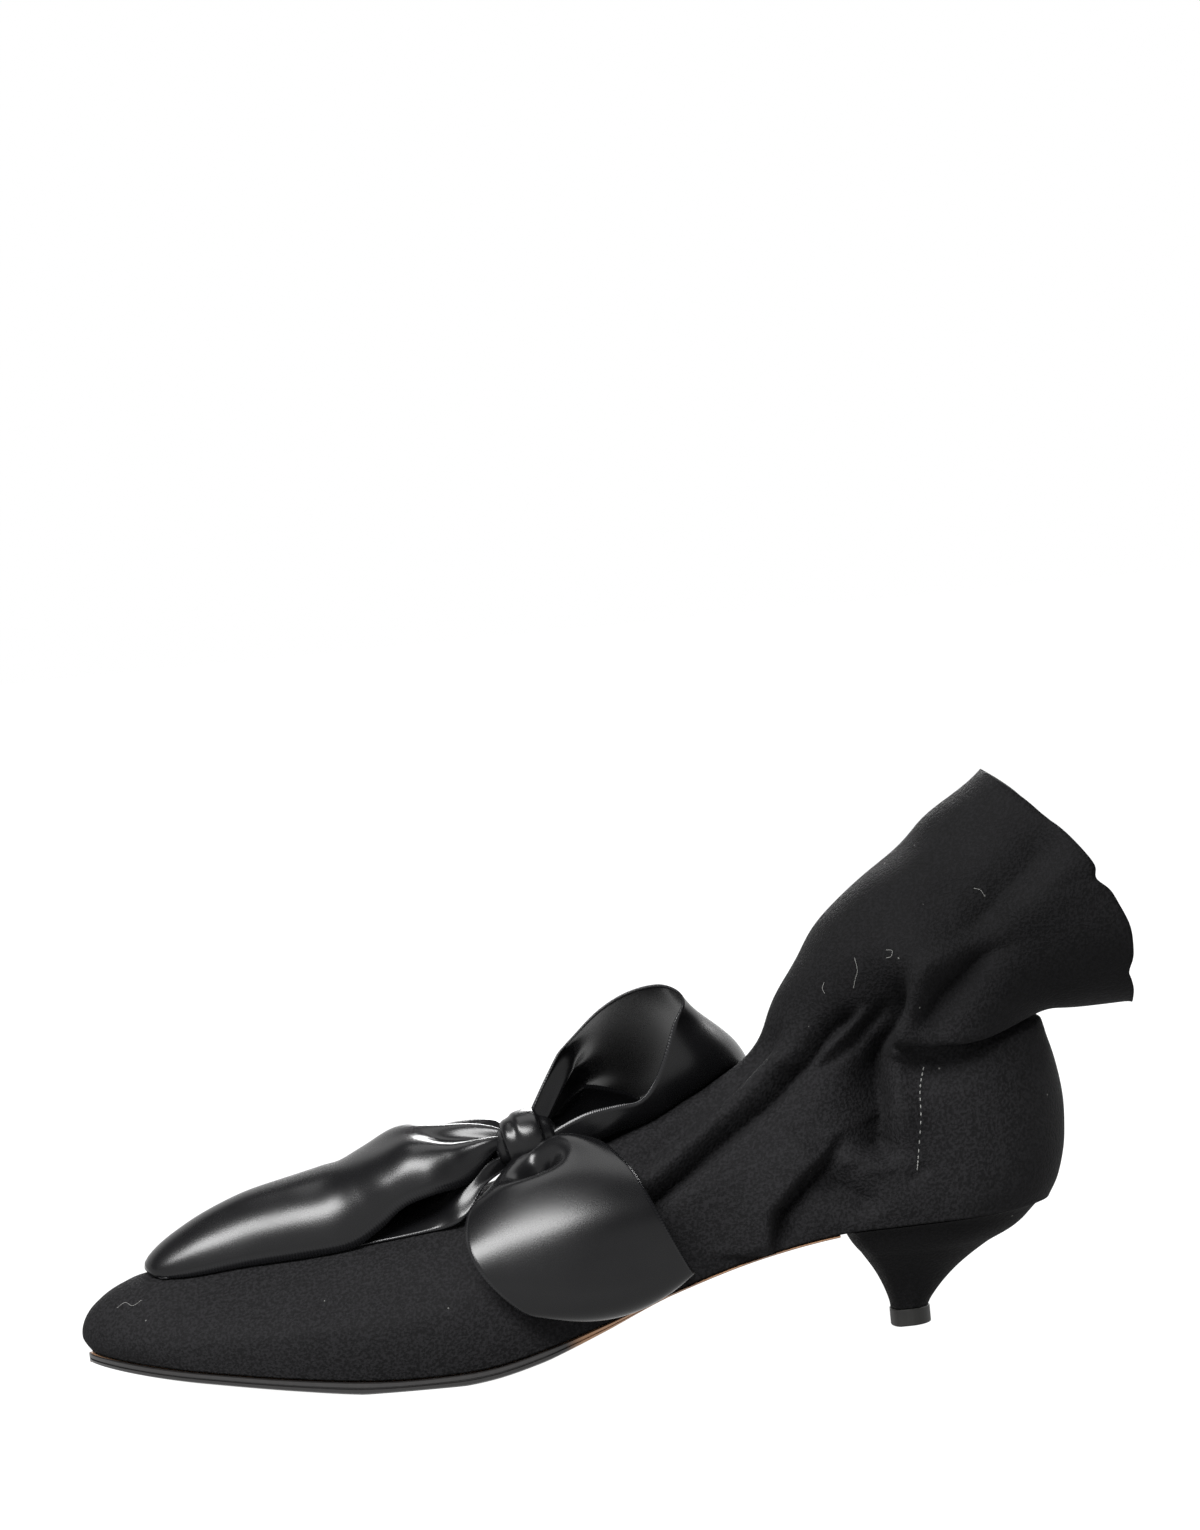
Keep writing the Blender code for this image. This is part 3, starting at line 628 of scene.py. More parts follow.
def creased_upper():
    """The upper's outer surface with its lip and folds."""
    points = upper_grid()
    level = np.linspace(0, len(RINGS) - 1, UPPER_ROWS + 1)[:, None]
    x, y = points[..., 0], points[..., 1]
    lip = plateau(LIP_RINGS, level) * plateau(LIP_X, x)
    side = np.clip((y - foot(x, "bend")) / SIDE_FADE, -1, 1)
    points = points + np.stack((0 * lip, LIP_OVERHANG * lip * side, -LIP_DROP * lip * np.abs(side)), axis=-1)
    lift = crease_lift(points, OUTER_CREASES, -1)
    lift += crease_lift(points, INNER_CREASES, 1)
    lift += slack_waves(points)
    row = np.arange(UPPER_ROWS + 1)[:, None]
    lift *= np.where(lift < 0, ease(0, TROUGH_ROWS, row), 0.5 + 0.5 * ease(0, RIDGE_ROWS, row))
    lift *= 1 - plateau(TUCK_RINGS, level) * ease(*TUCK_X, x)
    points = points + unit(closed_normals(points) * FOLD_PUSH) * lift[..., None]
    rim = ease(UPPER_ROWS - RIM_ROWS, UPPER_ROWS, row)
    for height, depth, spread in RIM_DENTS:
        points[..., 0] -= depth * rim * np.exp(-(((points[..., 2] - height) / spread) ** 2))
    return points


def grid_mesh(name, points, uvs=None, marks=None, close=True):
    """A mesh over a grid of points, with optional UVs in millimetres and named vertex values."""
    rows, columns = points.shape[0] - 1, points.shape[1] - 1
    shape = bmesh.new()
    layer = shape.loops.layers.uv.new("UVMap")
    mark_layers = {key: shape.verts.layers.float.new(key) for key in marks or {}}
    bmesh.ops.create_grid(shape, x_segments=columns, y_segments=rows, size=0.5)
    placed = in_metres(points)
    cells = {}
    for vertex in shape.verts:
        cell = (round((vertex.co.y + 0.5) * rows), round((vertex.co.x + 0.5) * columns))
        cells[vertex] = cell
        vertex.co = placed[cell]
        for key, mark_layer in mark_layers.items():
            vertex[mark_layer] = marks[key][cell]
    if uvs is not None:
        for face in shape.faces:
            for loop in face.loops:
                loop[layer].uv = uvs[cells[loop.vert]] * MM
    if close:
        bmesh.ops.remove_doubles(shape, verts=shape.verts, dist=2e-6)
    return write_mesh(name, shape)


def write_mesh(name, shape):
    mesh = bpy.data.meshes.new(name)
    shape.to_mesh(mesh)
    shape.free()
    mesh.shade_smooth()
    return mesh


def add_piece(name, mesh, materials, replaced=()):
    """A finished object that rides on the boot and stands for some of its solids."""
    for material in materials:
        mesh.materials.append(material)
    piece = bpy.data.objects.new(name, mesh)
    bpy.context.scene.collection.objects.link(piece)
    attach(piece, "root")
    if replaced:
        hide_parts(*replaced)
    return piece


def capped(mesh, sharp_deg=40):
    """The mesh with its rims capped, its faces turned out and its corners sharp."""
    shape = bmesh.new()
    shape.from_mesh(mesh)
    rims = [edge for edge in shape.edges if edge.is_boundary]
    bmesh.ops.holes_fill(shape, edges=rims, sides=0)
    bmesh.ops.recalc_face_normals(shape, faces=shape.faces)
    shape.to_mesh(mesh)
    shape.free()
    mesh.shade_smooth()
    mesh.set_sharp_from_angle(angle=math.radians(sharp_deg))
    return mesh


def upper_tree():
    """Search tree of the upper's outer surface."""
    upper = bpy.data.objects.get("upper_crepe")
    if upper is None:
        raise RuntimeError("make the upper first")
    places = [vertex.co.copy() for vertex in upper.data.vertices]
    return BVHTree.FromPolygons(places, [face.vertices[:] for face in upper.data.polygons])


def upper_height(x, y, tree):
    """Height of the upper straight under a place above the shoe, or None beside it."""
    start = Vector(in_metres((x, y, RINGS[-1].front_z)))
    hit = tree.ray_cast(start, Vector((0, 0, -1)))[0]
    return None if hit is None else hit.z / MM


def seen_on_upper(x, z, tree):
    """Point and normal of the upper where the photograph's eye sees a place of the axis plane."""
    eye = Vector(in_metres(EYE))
    aim = Vector(in_metres((x, 0, z)))
    return tree.ray_cast(eye, aim - eye)[:2]


def sole_half_width(x, side):
    """Signed half-width of the outsole at x, from the bend of the axis."""
    feather = RINGS[0]
    front_x = feather.front_x - SOLE_TIP_INSET
    ends = round_ends(x, front_x, feather.back_x, feather.nose, feather.tail)
    return side * foot(x, "lateral" if side < 0 else "medial") * WELT_SHARE * ends


def outsole_grid():
    """Outsole from the breast round the toe and back, each row running from its top face to its tread."""
    front_x = RINGS[0].front_x - SOLE_TIP_INSET
    steps = np.linspace(0, 1, SOLE_ROWS + 1)
    x_half = front_x + (BREAST_X - front_x) * (1 - np.cos(math.pi / 2 * (1 - steps)))
    outline = []
    for x_row, side in ((x_half, -1), (x_half[-2::-1], 1)):
        y_row = foot(x_row, "bend") + sole_half_width(x_row, side)
        outline.append(np.stack((x_row, y_row), axis=-1))
    outline = np.concatenate(outline)
    along = unit(np.gradient(outline, axis=0))
    inward = np.stack((along[:, 1], -along[:, 0]), axis=-1)
    inward[0] = (0, 1)
    inward[-1] = (0, -1)
    x = outline[:, 0]
    axis = np.stack((x, foot(x, "bend")), axis=-1)
    top = foot(x, "feather") - GAP
    waist = np.clip((x - WAIST_START_X) / (WAIST_FULL_X - WAIST_START_X), 0, 1)
    bottom = np.maximum(0, foot(x, "tread")) + WAIST_THINNING * waist
    reach = np.abs(outline[:, 1] - axis[:, 1])
    columns = []
    paint = []
    for step in SOLE_EDGE:
        inset = step.inset + waist * WAIST_BEVEL * step.share
        inset = np.minimum(inset, SOLE_INSET_SHARE * reach + SOLE_INSET_LEAST)
        place = outline + inward * inset[:, None]
        columns.append(np.column_stack((place, top + (bottom - top) * step.share)))
        paint.append(step.paint * (1 - ease(*PAINT_END_X, x)))
    for rim, is_top in ((columns[0], True), (columns[-1], False)):
        for share in np.linspace(0, 1, SOLE_FACE_STEPS + 1)[1:]:
            face = rim.copy()
            face[:, :2] = rim[:, :2] * (1 - share) + axis * share
            place = 0 if is_top else len(columns)
            columns.insert(place, face)
            paint.insert(place, 0 * x)
    return np.stack(columns, axis=1), np.stack(paint, axis=1)


def heel_grid(table, samples):
    """D-shaped rings of the heel: a flat breast with rounded corners and a round back."""
    row = read_columns(table, np.linspace(0, len(table) - 1, samples + 1))
    turn = closed_turns(HEEL_COLUMNS // 2)[None, :]
    share = 1 - np.abs(1 - turn)
    x = row.front_x + (row.back_x - row.front_x) * share
    tail = (row.back_x - row.front_x) * HEEL_TAIL_SHARE
    half = half_width(turn, x) * row.width * round_ends(x, row.front_x, row.back_x, row.nose, tail)
    z = row.z + row.follow * (foot(x, "feather") - GAP - row.z)
    return np.stack((x, foot(x, "bend") + half, z), axis=-1)


def knot_frame():
    """Axis of the knot, its rise and its width direction."""
    turn = math.radians(KNOT_TILT_DEG)
    axis = np.array((math.cos(turn), 0, math.sin(turn)))
    rise = np.array((-math.sin(turn), 0, math.cos(turn)))
    return axis, rise, np.array((0, 1.0, 0))


def knot_grid():
    """The knot's wrap with its pleats, closed round its axis."""
    axis, rise, wide = knot_frame()
    rows = read_columns(KNOT, crowded(KNOT_ROWS) * (len(KNOT) - 1))
    angle = np.linspace(0, 2 * math.pi, KNOT_COLUMNS + 1)[None, :]
    swell = np.zeros((KNOT_ROWS + 1, KNOT_COLUMNS + 1))
    for pleat in PLEATS:
        distance = rows.along - pleat.along - pleat.drift * np.sin(angle + PLEAT_TWIST * pleat.along)
        spread = np.where(distance > 0, pleat.spread, PLEAT_LEAN * pleat.spread)
        swell += pleat.depth * np.exp(-0.5 * (distance / spread) ** 2)
    swell *= ease(*KNOT_CLOSING, rows.across)
    sideways = (rows.across + swell) * np.cos(angle)
    upwards = (rows.height + swell) * np.sin(angle)
    offset = sideways[..., None] * wide + upwards[..., None] * rise
    return np.array(KNOT_CENTRE) + rows.along[..., None] * axis + offset


def even_rows(line, count):
    """Places along a line, as fractional rows, that part it into equal lengths, and its length."""
    fine = np.linspace(0, len(line) - 1, LENGTH_STEPS * len(line))
    points = read_rows(line, fine)
    lengths = np.concatenate(([0], np.cumsum(np.linalg.norm(np.diff(points, axis=0), axis=1))))
    return np.interp(np.linspace(0, lengths[-1], count + 1), lengths, fine), lengths[-1]


def seated(selvedge, tree, rest):
    """Points of a selvedge, where a height of None rests on the upper."""
    placed = [(x, y, upper_height(x, y, tree) + rest if z is None else z) for x, y, z in selvedge]
    return np.array(placed, float)


def lie_on(points, share, tree, rest):
    """Points lowered or raised onto the upper by a share, a rest height above it."""
    for cell in map(tuple, np.argwhere(share > 0)):
        height = upper_height(points[cell][0], points[cell][1], tree)
        if height is not None:
            points[cell][2] += (height + rest - points[cell][2]) * share[cell]


def keep_clear(points, tree, rest):
    """Points that would sink into the upper pushed out to a rest height above it."""
    for cell in np.ndindex(points.shape[:2]):
        place = Vector(in_metres(points[cell]))
        hit, normal, _, _ = tree.find_nearest(place)
        height = (place - hit).dot(normal) / MM
        if height < rest:
            points[cell] = in_shoe(hit + normal * rest * MM)


def relaxed(points, rounds):
    """A grid whose inner points are drawn a little towards their neighbours."""
    for _ in range(rounds):
        middle = (points[:-2, 1:-1] + points[2:, 1:-1] + points[1:-1, :-2] + points[1:-1, 2:]) / 4
        points[1:-1, 1:-1] += 0.5 * (middle - points[1:-1, 1:-1])
    return points


def dent_swell(dents, along, share):
    """Height of a ribbon's dents over its rows and columns."""
    swell = np.zeros((RIBBON_ROWS + 1, RIBBON_COLUMNS + 1))
    for dent in dents:
        reach = ((along - dent.along) / dent.long) ** 2 + ((share - dent.across) / dent.wide) ** 2
        swell += dent.height * np.exp(-0.5 * reach)
    return swell


def gather_swell(gathers, held, from_knot, half, share):
    """Waves across a ribbon near the knot, where it is held narrower than its width."""
    slope = np.sqrt(np.maximum(0, (RIBBON_WIDTH / held) ** 2 - 1)) / (2 * math.pi * GATHER_COUNT)
    height = np.minimum(gathers * held * slope, GATHER_MOST) * ease(*GATHER_WIDTHS, held / RIBBON_WIDTH)
    height = height * ease(*GATHER_RISE, from_knot) * (1 - ease(*GATHER_REACH, from_knot))
    return height * np.sin(2 * math.pi * GATHER_COUNT * share + GATHER_PHASE * half)


def ribbon_grid(loop, tree, rest):
    """A ribbon through its loop's folds: grid of points, UVs in millimetres, and its length."""
    near = seated([fold.near for fold in loop.folds], tree, rest)
    far = seated([fold.far for fold in loop.folds], tree, rest)
    rows, length = even_rows((near + far) / 2, RIBBON_ROWS)
    along = np.linspace(0, 1, RIBBON_ROWS + 1)[:, None]
    share = np.linspace(0, 1, RIBBON_COLUMNS + 1)
    across = share[None, :, None]
    near_line = read_rows(near, rows)[:, None]
    far_line = read_rows(far, rows)[:, None]
    normal = unit(np.cross(far_line - near_line, np.gradient((near_line + far_line) / 2, axis=0)))
    for _ in range(CROWN_BLURS):
        normal[1:-1] = unit(normal[:-2] + 2 * normal[1:-1] + normal[2:])
    arch = (4 * share * (1 - share)) ** loop.arch
    crown = read_rows([fold.crown for fold in loop.folds], rows)[:, None] * arch
    points = near_line * (1 - across) + far_line * across + normal * crown[..., None]
    held = np.linalg.norm(far_line - near_line, axis=-1)
    from_knot = np.minimum(along, 1 - along) * length
    swell = dent_swell(loop.dents, along, share)
    swell += gather_swell(loop.gathers, held, from_knot, np.sign(along - 0.5), share)
    outward = unit(np.cross(np.gradient(points, axis=1), np.gradient(points, axis=0)))
    points = points + outward * swell[..., None]
    lie = np.clip(read_rows([fold.lie for fold in loop.folds], rows), 0, 1)[:, None] + 0 * share
    lie_on(points, lie, tree, rest)
    keep_clear(points, tree, rest)
    points = relaxed(points, RELAX_ROUNDS)
    uvs = np.stack(np.broadcast_arrays(share * RIBBON_WIDTH, along * length), axis=-1)
    return points, uvs, length


def thicken(piece, thickness, offset, inner_material=0):
    wall = piece.modifiers.new("wall", "SOLIDIFY")
    wall.thickness = thickness
    wall.offset = offset
    wall.use_even_offset = False
    wall.material_offset = inner_material


class Field:
    """A shader socket that Python arithmetic extends with Math nodes."""

    def __init__(self, recipe, socket):
        self.recipe = recipe
        self.socket = socket

    def math(self, operation, first, second=None):
        sockets = {0: first} if second is None else {0: first, 1: second}
        return self.recipe.node("ShaderNodeMath", {"operation": operation}, sockets)

    def __add__(self, other):
        return self.math("ADD", self, other)

    __radd__ = __add__

    def __sub__(self, other):
        return self.math("SUBTRACT", self, other)

    def __rsub__(self, other):
        return self.math("SUBTRACT", other, self)

    def __mul__(self, other):
        return self.math("MULTIPLY", self, other)

    __rmul__ = __mul__

    def __lt__(self, other):
        return self.math("LESS_THAN", self, other)

    def __gt__(self, other):
        return self.math("GREATER_THAN", self, other)

    def sine(self):
        return self.math("SINE", self)

    def step(self, low, high):
        """0 at low, 1 at high and a soft step between."""
        return self.recipe.node(
            "ShaderNodeMapRange",
            {"interpolation_type": "SMOOTHSTEP"},
            {"Value": self, "From Min": low, "From Max": high},
        )


class Recipe:
    """Nodes of a material or a world that lead to its shader."""

    def __init__(self, owner, shader="Principled BSDF"):
        owner.use_nodes = True
        self.owner = owner
        self.tree = owner.node_tree
        self.shader = self.tree.nodes[shader]

    def node(self, kind, settings=None, sockets=None, output=0):
        """A node with its settings, then its socket values or links; gives one of its outputs."""
        made = self.tree.nodes.new(kind)
        for key, value in (settings or {}).items():
            setattr(made, key, value)
        for key, value in (sockets or {}).items():
            self.feed(made.inputs[key], value)
        return Field(self, made.outputs[output])

    def feed(self, socket, value):
        if isinstance(value, Field):
            self.tree.links.new(value.socket, socket)
        else:
            socket.default_value = value

    def place(self):
        return self.node("ShaderNodeTexCoord", output="Object")

    def noise(self, scale, detail=2.0, vector=None):
        vector = vector or self.place()
        return self.node("ShaderNodeTexNoise", None, {"Vector": vector, "Scale": scale, "Detail": detail})

    def cells(self, scale, output):
        sockets = {"Vector": self.place(), "Scale": scale}
        return self.node("ShaderNodeTexVoronoi", None, sockets, output=output)

    def part(self, vector, axis):
        """One of the X, Y and Z parts of a vector."""
        return self.node("ShaderNodeSeparateXYZ", None, {"Vector": vector}, output=axis)

    def mix(self, factor, first, second):
        """Colour between two colours."""
        return self.node("ShaderNodeMix", {"data_type": "RGBA"}, {0: factor, 6: first, 7: second}, output=2)

    def bump(self, height, strength, distance):
        sockets = {"Height": height, "Strength": strength, "Distance": distance}
        return self.node("ShaderNodeBump", None, sockets)

    def surface(self, **sockets):
        """Sets the shader's sockets, whose names are written with _ for a space."""
        for key, value in sockets.items():
            self.feed(self.shader.inputs[key.replace("_", " ")], value)
        return self.owner


def material_recipe(name):
    return Recipe(bpy.data.materials.new(name))


def shade(colour, share):
    """A colour made lighter or darker, with full alpha."""
    return tuple(min(1.0, channel * share) for channel in colour[:3]) + (1.0,)


def crepe_material(finish, name="crepe", depth=1.0):
    """Matt stretch crepe with a pebbled grain and a little lint. depth darkens its colour as painted shade,
    and painted shade darkens it from the counter up.
    """
    recipe = material_recipe(name)
    pebble = recipe.noise(1350, 2.0).step(0.34, 0.66)
    cloud = recipe.noise(45, 3.0)
    speck = recipe.cells(260.0, "Distance") < 0.06
    pick = recipe.cells(260.0, "Color")
    chosen = recipe.node("ShaderNodeSeparateColor", None, {"Color": pick}, output="Red") > 0.86
    grain = 0.3 * cloud + 0.7 * pebble
    # depth divides the crepe's colours, painted shade for the heel under the shoe.
    cloth = recipe.mix(grain, shade(finish.crepe, 0.35 / depth), shade(finish.crepe, 1.75 / depth))
    # Painted shade: black mixed into the crepe from the counter up the shaft.
    slack = recipe.part(recipe.place(), "Z").step(SHAFT_PAINTED_SHADE_Z[0] * MM, SHAFT_PAINTED_SHADE_Z[1] * MM)
    cloth = recipe.mix(SHAFT_PAINTED_SHADE * slack, cloth, (0.0, 0.0, 0.0, 1.0))
    colour = recipe.mix(speck * chosen, cloth, shade(finish.thread, 0.7))
    return recipe.surface(
        Base_Color=colour,
        Roughness=0.75 + 0.2 * pebble,
        Specular_IOR_Level=0.06,
        Normal=recipe.bump(pebble, 0.5, 0.25 * MM),
    )


def lining_material(finish):
    """Black knitted lining with fine ribs."""
    recipe = material_recipe("lining")
    sockets = {"Vector": recipe.place(), "Scale": 320.0}
    ribs = recipe.node("ShaderNodeTexWave", {"bands_direction": "X"}, sockets)
    grain = recipe.noise(900, 2.0)
    return recipe.surface(
        Base_Color=recipe.mix(grain, shade(finish.lining, 0.7), shade(finish.lining, 1.4)),
        Roughness=0.8 + 0.15 * grain,
        Specular_IOR_Level=0.2,
        Sheen_Weight=0.1,
        Normal=recipe.bump(ribs, 0.3, 0.2 * MM),
    )


def satin_material(finish, name="satin", selvedges=True):
    """Satin with a fine weave, and corded selvedges where the piece has them, with a painted highlight on
    their ribs.
    """
    recipe = material_recipe(name)
    weave = recipe.noise(2600, 1.0)
    drift = recipe.noise(90, 2.0)
    height = 0.25 * weave
    colour = recipe.mix(drift, shade(finish.satin, 0.8), shade(finish.satin, 1.25))
    if selvedges:
        flat = recipe.node("ShaderNodeUVMap", {"uv_map": "UVMap"})
        across = recipe.part(flat, "X")
        along = recipe.part(flat, "Y")
        width = RIBBON_WIDTH * MM
        edge = 1 - across.step(0.5 * MM, 1.0 * MM) + across.step(width - 1.0 * MM, width - 0.5 * MM)
        ribs = (along * (2 * math.pi / (0.75 * MM))).sine() * 0.5 + 0.5
        height = height + edge * (0.8 + 0.6 * ribs)
        # Painted highlight: the selvedges' ribs are painted lighter, as where they catch the light.
        colour = recipe.mix(edge * (0.25 + 0.5 * ribs), colour, shade(finish.satin, 3.0))
    return recipe.surface(
        Base_Color=colour,
        Roughness=0.22 + 0.06 * drift + 0.04 * weave,
        Specular_IOR_Level=0.24,
        Normal=recipe.bump(height, 0.22, 0.16 * MM),
    )


def sole_material(finish):
    """Vegetable-tan sole leather whose forefoot edge is painted black."""
    recipe = material_recipe("sole_leather")
    paint = recipe.node("ShaderNodeAttribute", {"attribute_name": "paint"}, output="Fac").step(0.25, 0.6)
    grain = recipe.noise(700, 3.0)
    cloud = recipe.noise(60, 3.0)
    leather = recipe.mix(0.6 * cloud + 0.4 * grain, shade(finish.sole, 0.72), shade(finish.sole, 1.2))
    edge = recipe.mix(grain, shade(finish.edge, 0.7), shade(finish.edge, 1.6))
    return recipe.surface(
        Base_Color=recipe.mix(paint, leather, edge),
        Roughness=0.58 - 0.2 * paint + 0.1 * grain,
        Normal=recipe.bump(grain, 0.25, 0.15 * MM),
    )


def insole_material(finish):
    """Smooth lining leather of the insole."""
    recipe = material_recipe("insole_leather")
    grain = recipe.noise(420, 4.0)
    pores = recipe.cells(900.0, "Distance")
    return recipe.surface(
        Base_Color=recipe.mix(grain, shade(finish.insole, 0.8), shade(finish.insole, 1.15)),
        Roughness=0.5 + 0.2 * grain,
        Normal=recipe.bump(pores, 0.2, 0.1 * MM),
    )


def rubber_material(finish):
    """Dark rubber of the top piece with cutting marks."""
    recipe = material_recipe("heel_rubber")
    sockets = {"Vector": recipe.place(), "Scale": (1.0, 1.0, 0.06)}
    stretched = recipe.node("ShaderNodeMapping", None, sockets)
    marks = recipe.noise(1400, 2.0, stretched)
    return recipe.surface(
        Base_Color=recipe.mix(marks, shade(finish.rubber, 0.65), shade(finish.rubber, 1.5)),
        Roughness=0.5 + 0.25 * marks,
        Specular_IOR_Level=0.18,
        Normal=recipe.bump(marks, 0.3, 0.12 * MM),
    )


def thread_material(finish, name="thread"):
    """Grey sewing thread, also for fibres."""
    recipe = material_recipe(name)
    twist = recipe.noise(2500, 1.0)
    return recipe.surface(
        Base_Color=recipe.mix(twist, shade(finish.thread, 0.7), shade(finish.thread, 1.2)),
        Roughness=0.6,
    )


def floor_material(stage):
    recipe = material_recipe("studio_floor")
    cloud = recipe.noise(3.0, 2.0)
    return recipe.surface(
        Base_Color=recipe.mix(cloud, shade(stage.floor, 0.985), shade(stage.floor, 1.0)),
        Roughness=0.9,
        Specular_IOR_Level=0.0,
        Emission_Color=(1.0, 1.0, 1.0, 1.0),
        Emission_Strength=stage.glow,
    )


def length_property(name, description, millimetres):
    return FloatProperty(
        name=name, description=description, default=millimetres * MM, unit="LENGTH", precision=5
    )


class BootSizes(bpy.types.PropertyGroup):
    """Thicknesses and pitches of the dressed pieces."""

    wall: length_property("Upper wall", "Crepe and lining together", 1.5)
    ribbon: length_property("Ribbon", "Thickness of the satin ribbon", 0.45)
    rest: length_property("Ribbon rest", "Height of a lying ribbon", 0.6)
    stitch_pitch: length_property("Stitch pitch", "Length of one stitch and gap", 1.7)
    stitch_width: length_property("Stitch width", "Thickness of the thread", 0.34)


def colour_property(name, description, default):
    return FloatVectorProperty(
        name=name, description=description, default=default, subtype="COLOR", size=3, min=0.0, max=1.0
    )


class BootFinish(bpy.types.PropertyGroup):
    """Colours of the boot's materials."""

    crepe: colour_property("Crepe", "Matt cloth of upper and heel", (0.0058, 0.0057, 0.0061))
    lining: colour_property("Lining", "Knitted cloth inside the shaft", (0.009, 0.009, 0.009))
    satin: colour_property("Satin", "Ribbon of the bow", (0.0026, 0.0026, 0.0029))
    sole: colour_property("Sole leather", "Waist and tread", (0.26, 0.135, 0.066))
    edge: colour_property("Edge paint", "Forefoot edge of the sole", (0.006, 0.0055, 0.0055))
    insole: colour_property("Insole leather", "Leather under the foot", (0.30, 0.22, 0.16))
    rubber: colour_property("Heel rubber", "Top piece under the heel", (0.011, 0.011, 0.0105))
    thread: colour_property("Thread", "Stitches and lint", (0.11, 0.11, 0.105))


class BootStage(bpy.types.PropertyGroup):
    """Camera and light of the studio."""

    elevation: FloatProperty(
        name="Elevation", description="Camera above the horizon", default=math.radians(3), subtype="ANGLE"
    )
    roll: FloatProperty(
        name="Roll", description="Lean that lifts the heel", default=math.radians(5.6), subtype="ANGLE"
    )
    distance: FloatProperty(name="Distance", description="Camera to the shoe", default=1.6, unit="LENGTH")
    sensor: FloatProperty(name="Sensor", description="Long side of the sensor in millimetres", default=36.0)
    floor: colour_property("Floor", "Floor under its own glow", (0.05, 0.05, 0.05))
    glow: FloatProperty(name="Floor glow", description="Light that keeps the floor white", default=1.0)
    backdrop: FloatProperty(name="Backdrop", description="Brightness near the horizon", default=1.0)
    ceiling: FloatProperty(name="Ceiling", description="Brightness overhead", default=0.08)


class BOOT_OT_upper(bpy.types.Operator):
    """Slack crepe upper with its lining"""

    bl_idname = "boot.make_upper"
    bl_label = "Upper"

    def execute(self, context):
        scene = context.scene
        mesh = grid_mesh("upper_crepe", creased_upper())
        finishes = [crepe_material(scene.boot_finish), lining_material(scene.boot_finish)]
        upper = add_piece("upper_crepe", mesh, finishes, ["upper"])
        thicken(upper, scene.boot_sizes.wall, -1.0, inner_material=1)
        return {"FINISHED"}


class BOOT_OT_stitches(bpy.types.Operator):
    """Row of stitches that holds the stiffened counter"""

    bl_idname = "boot.make_stitches"
    bl_label = "Counter stitches"

    def execute(self, context):
        sizes = context.scene.boot_sizes
        tree = upper_tree()
        length = np.linalg.norm(np.diff(STITCH_LINE, axis=0), axis=1).sum()
        count = round(length * MM / sizes.stitch_pitch)
        shape = bmesh.new()
        for place in (np.arange(count) + 0.5) * (len(STITCH_LINE) - 1) / count:
            ends = read_rows(STITCH_LINE, (place - STITCH_REACH, place + STITCH_REACH))
            (first, _), (second, normal) = [seen_on_upper(x, z, tree) for x, z in ends]
            along = (second - first).normalized()
            side = along.cross(normal).normalized()
            turn = Matrix((along, side, along.cross(side))).transposed().to_4x4()
            middle = (first + second) / 2
            reach = STITCH_FILL / 2 * sizes.stitch_pitch
            half = Vector((reach, sizes.stitch_width / 2, sizes.stitch_width / 2))
            bmesh.ops.create_uvsphere(
                shape,
                u_segments=8,
                v_segments=6,
                radius=1.0,
                matrix=Matrix.Translation(middle) @ turn @ Matrix.Diagonal(half).to_4x4(),
            )
        bmesh.ops.recalc_face_normals(shape, faces=shape.faces)
        mesh = write_mesh("counter_stitches", shape)
        add_piece("counter_stitches", mesh, [thread_material(context.scene.boot_finish)])
        return {"FINISHED"}


class BOOT_OT_lint(bpy.types.Operator):
    """Loose fibres caught on the crepe"""

    bl_idname = "boot.make_lint"
    bl_label = "Lint"

    def execute(self, context):
        tree = upper_tree()
        shape = bmesh.new()
        for line in LINT:
            path = read_rows(line, np.linspace(0, len(line) - 1, LINT_STEPS * len(line)))
            hits = [seen_on_upper(x, z, tree) for x, z in path]
            spots = [point + normal * LINT_RADIUS * MM for point, normal in hits]
            for first, second in zip(spots, spots[1:]):
                step = second - first
                turn = step.to_track_quat("Z", "Y").to_matrix().to_4x4()
                bmesh.ops.create_cone(
                    shape,
                    cap_ends=True,
                    segments=5,
                    radius1=LINT_RADIUS * MM,
                    radius2=LINT_RADIUS * MM,
                    depth=step.length,
                    matrix=Matrix.Translation((first + second) / 2) @ turn,
                )
        mesh = write_mesh("lint_fibres", shape)
        add_piece("lint_fibres", mesh, [thread_material(context.scene.boot_finish, "lint")])
        return {"FINISHED"}


class BOOT_OT_sole(bpy.types.Operator):
    """Thin leather outsole and the insole board"""

    bl_idname = "boot.make_sole"
    bl_label = "Outsole and insole"

    def execute(self, context):
        finish = context.scene.boot_finish
        points, paint = outsole_grid()
        mesh = capped(grid_mesh("outsole_leather", points, marks={"paint": paint}))
        add_piece("outsole_leather", mesh, [sole_material(finish)], ["outsole"])
        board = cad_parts["insole"]
        board.data.materials.clear()
        board.data.materials.append(insole_material(finish))
        return {"FINISHED"}


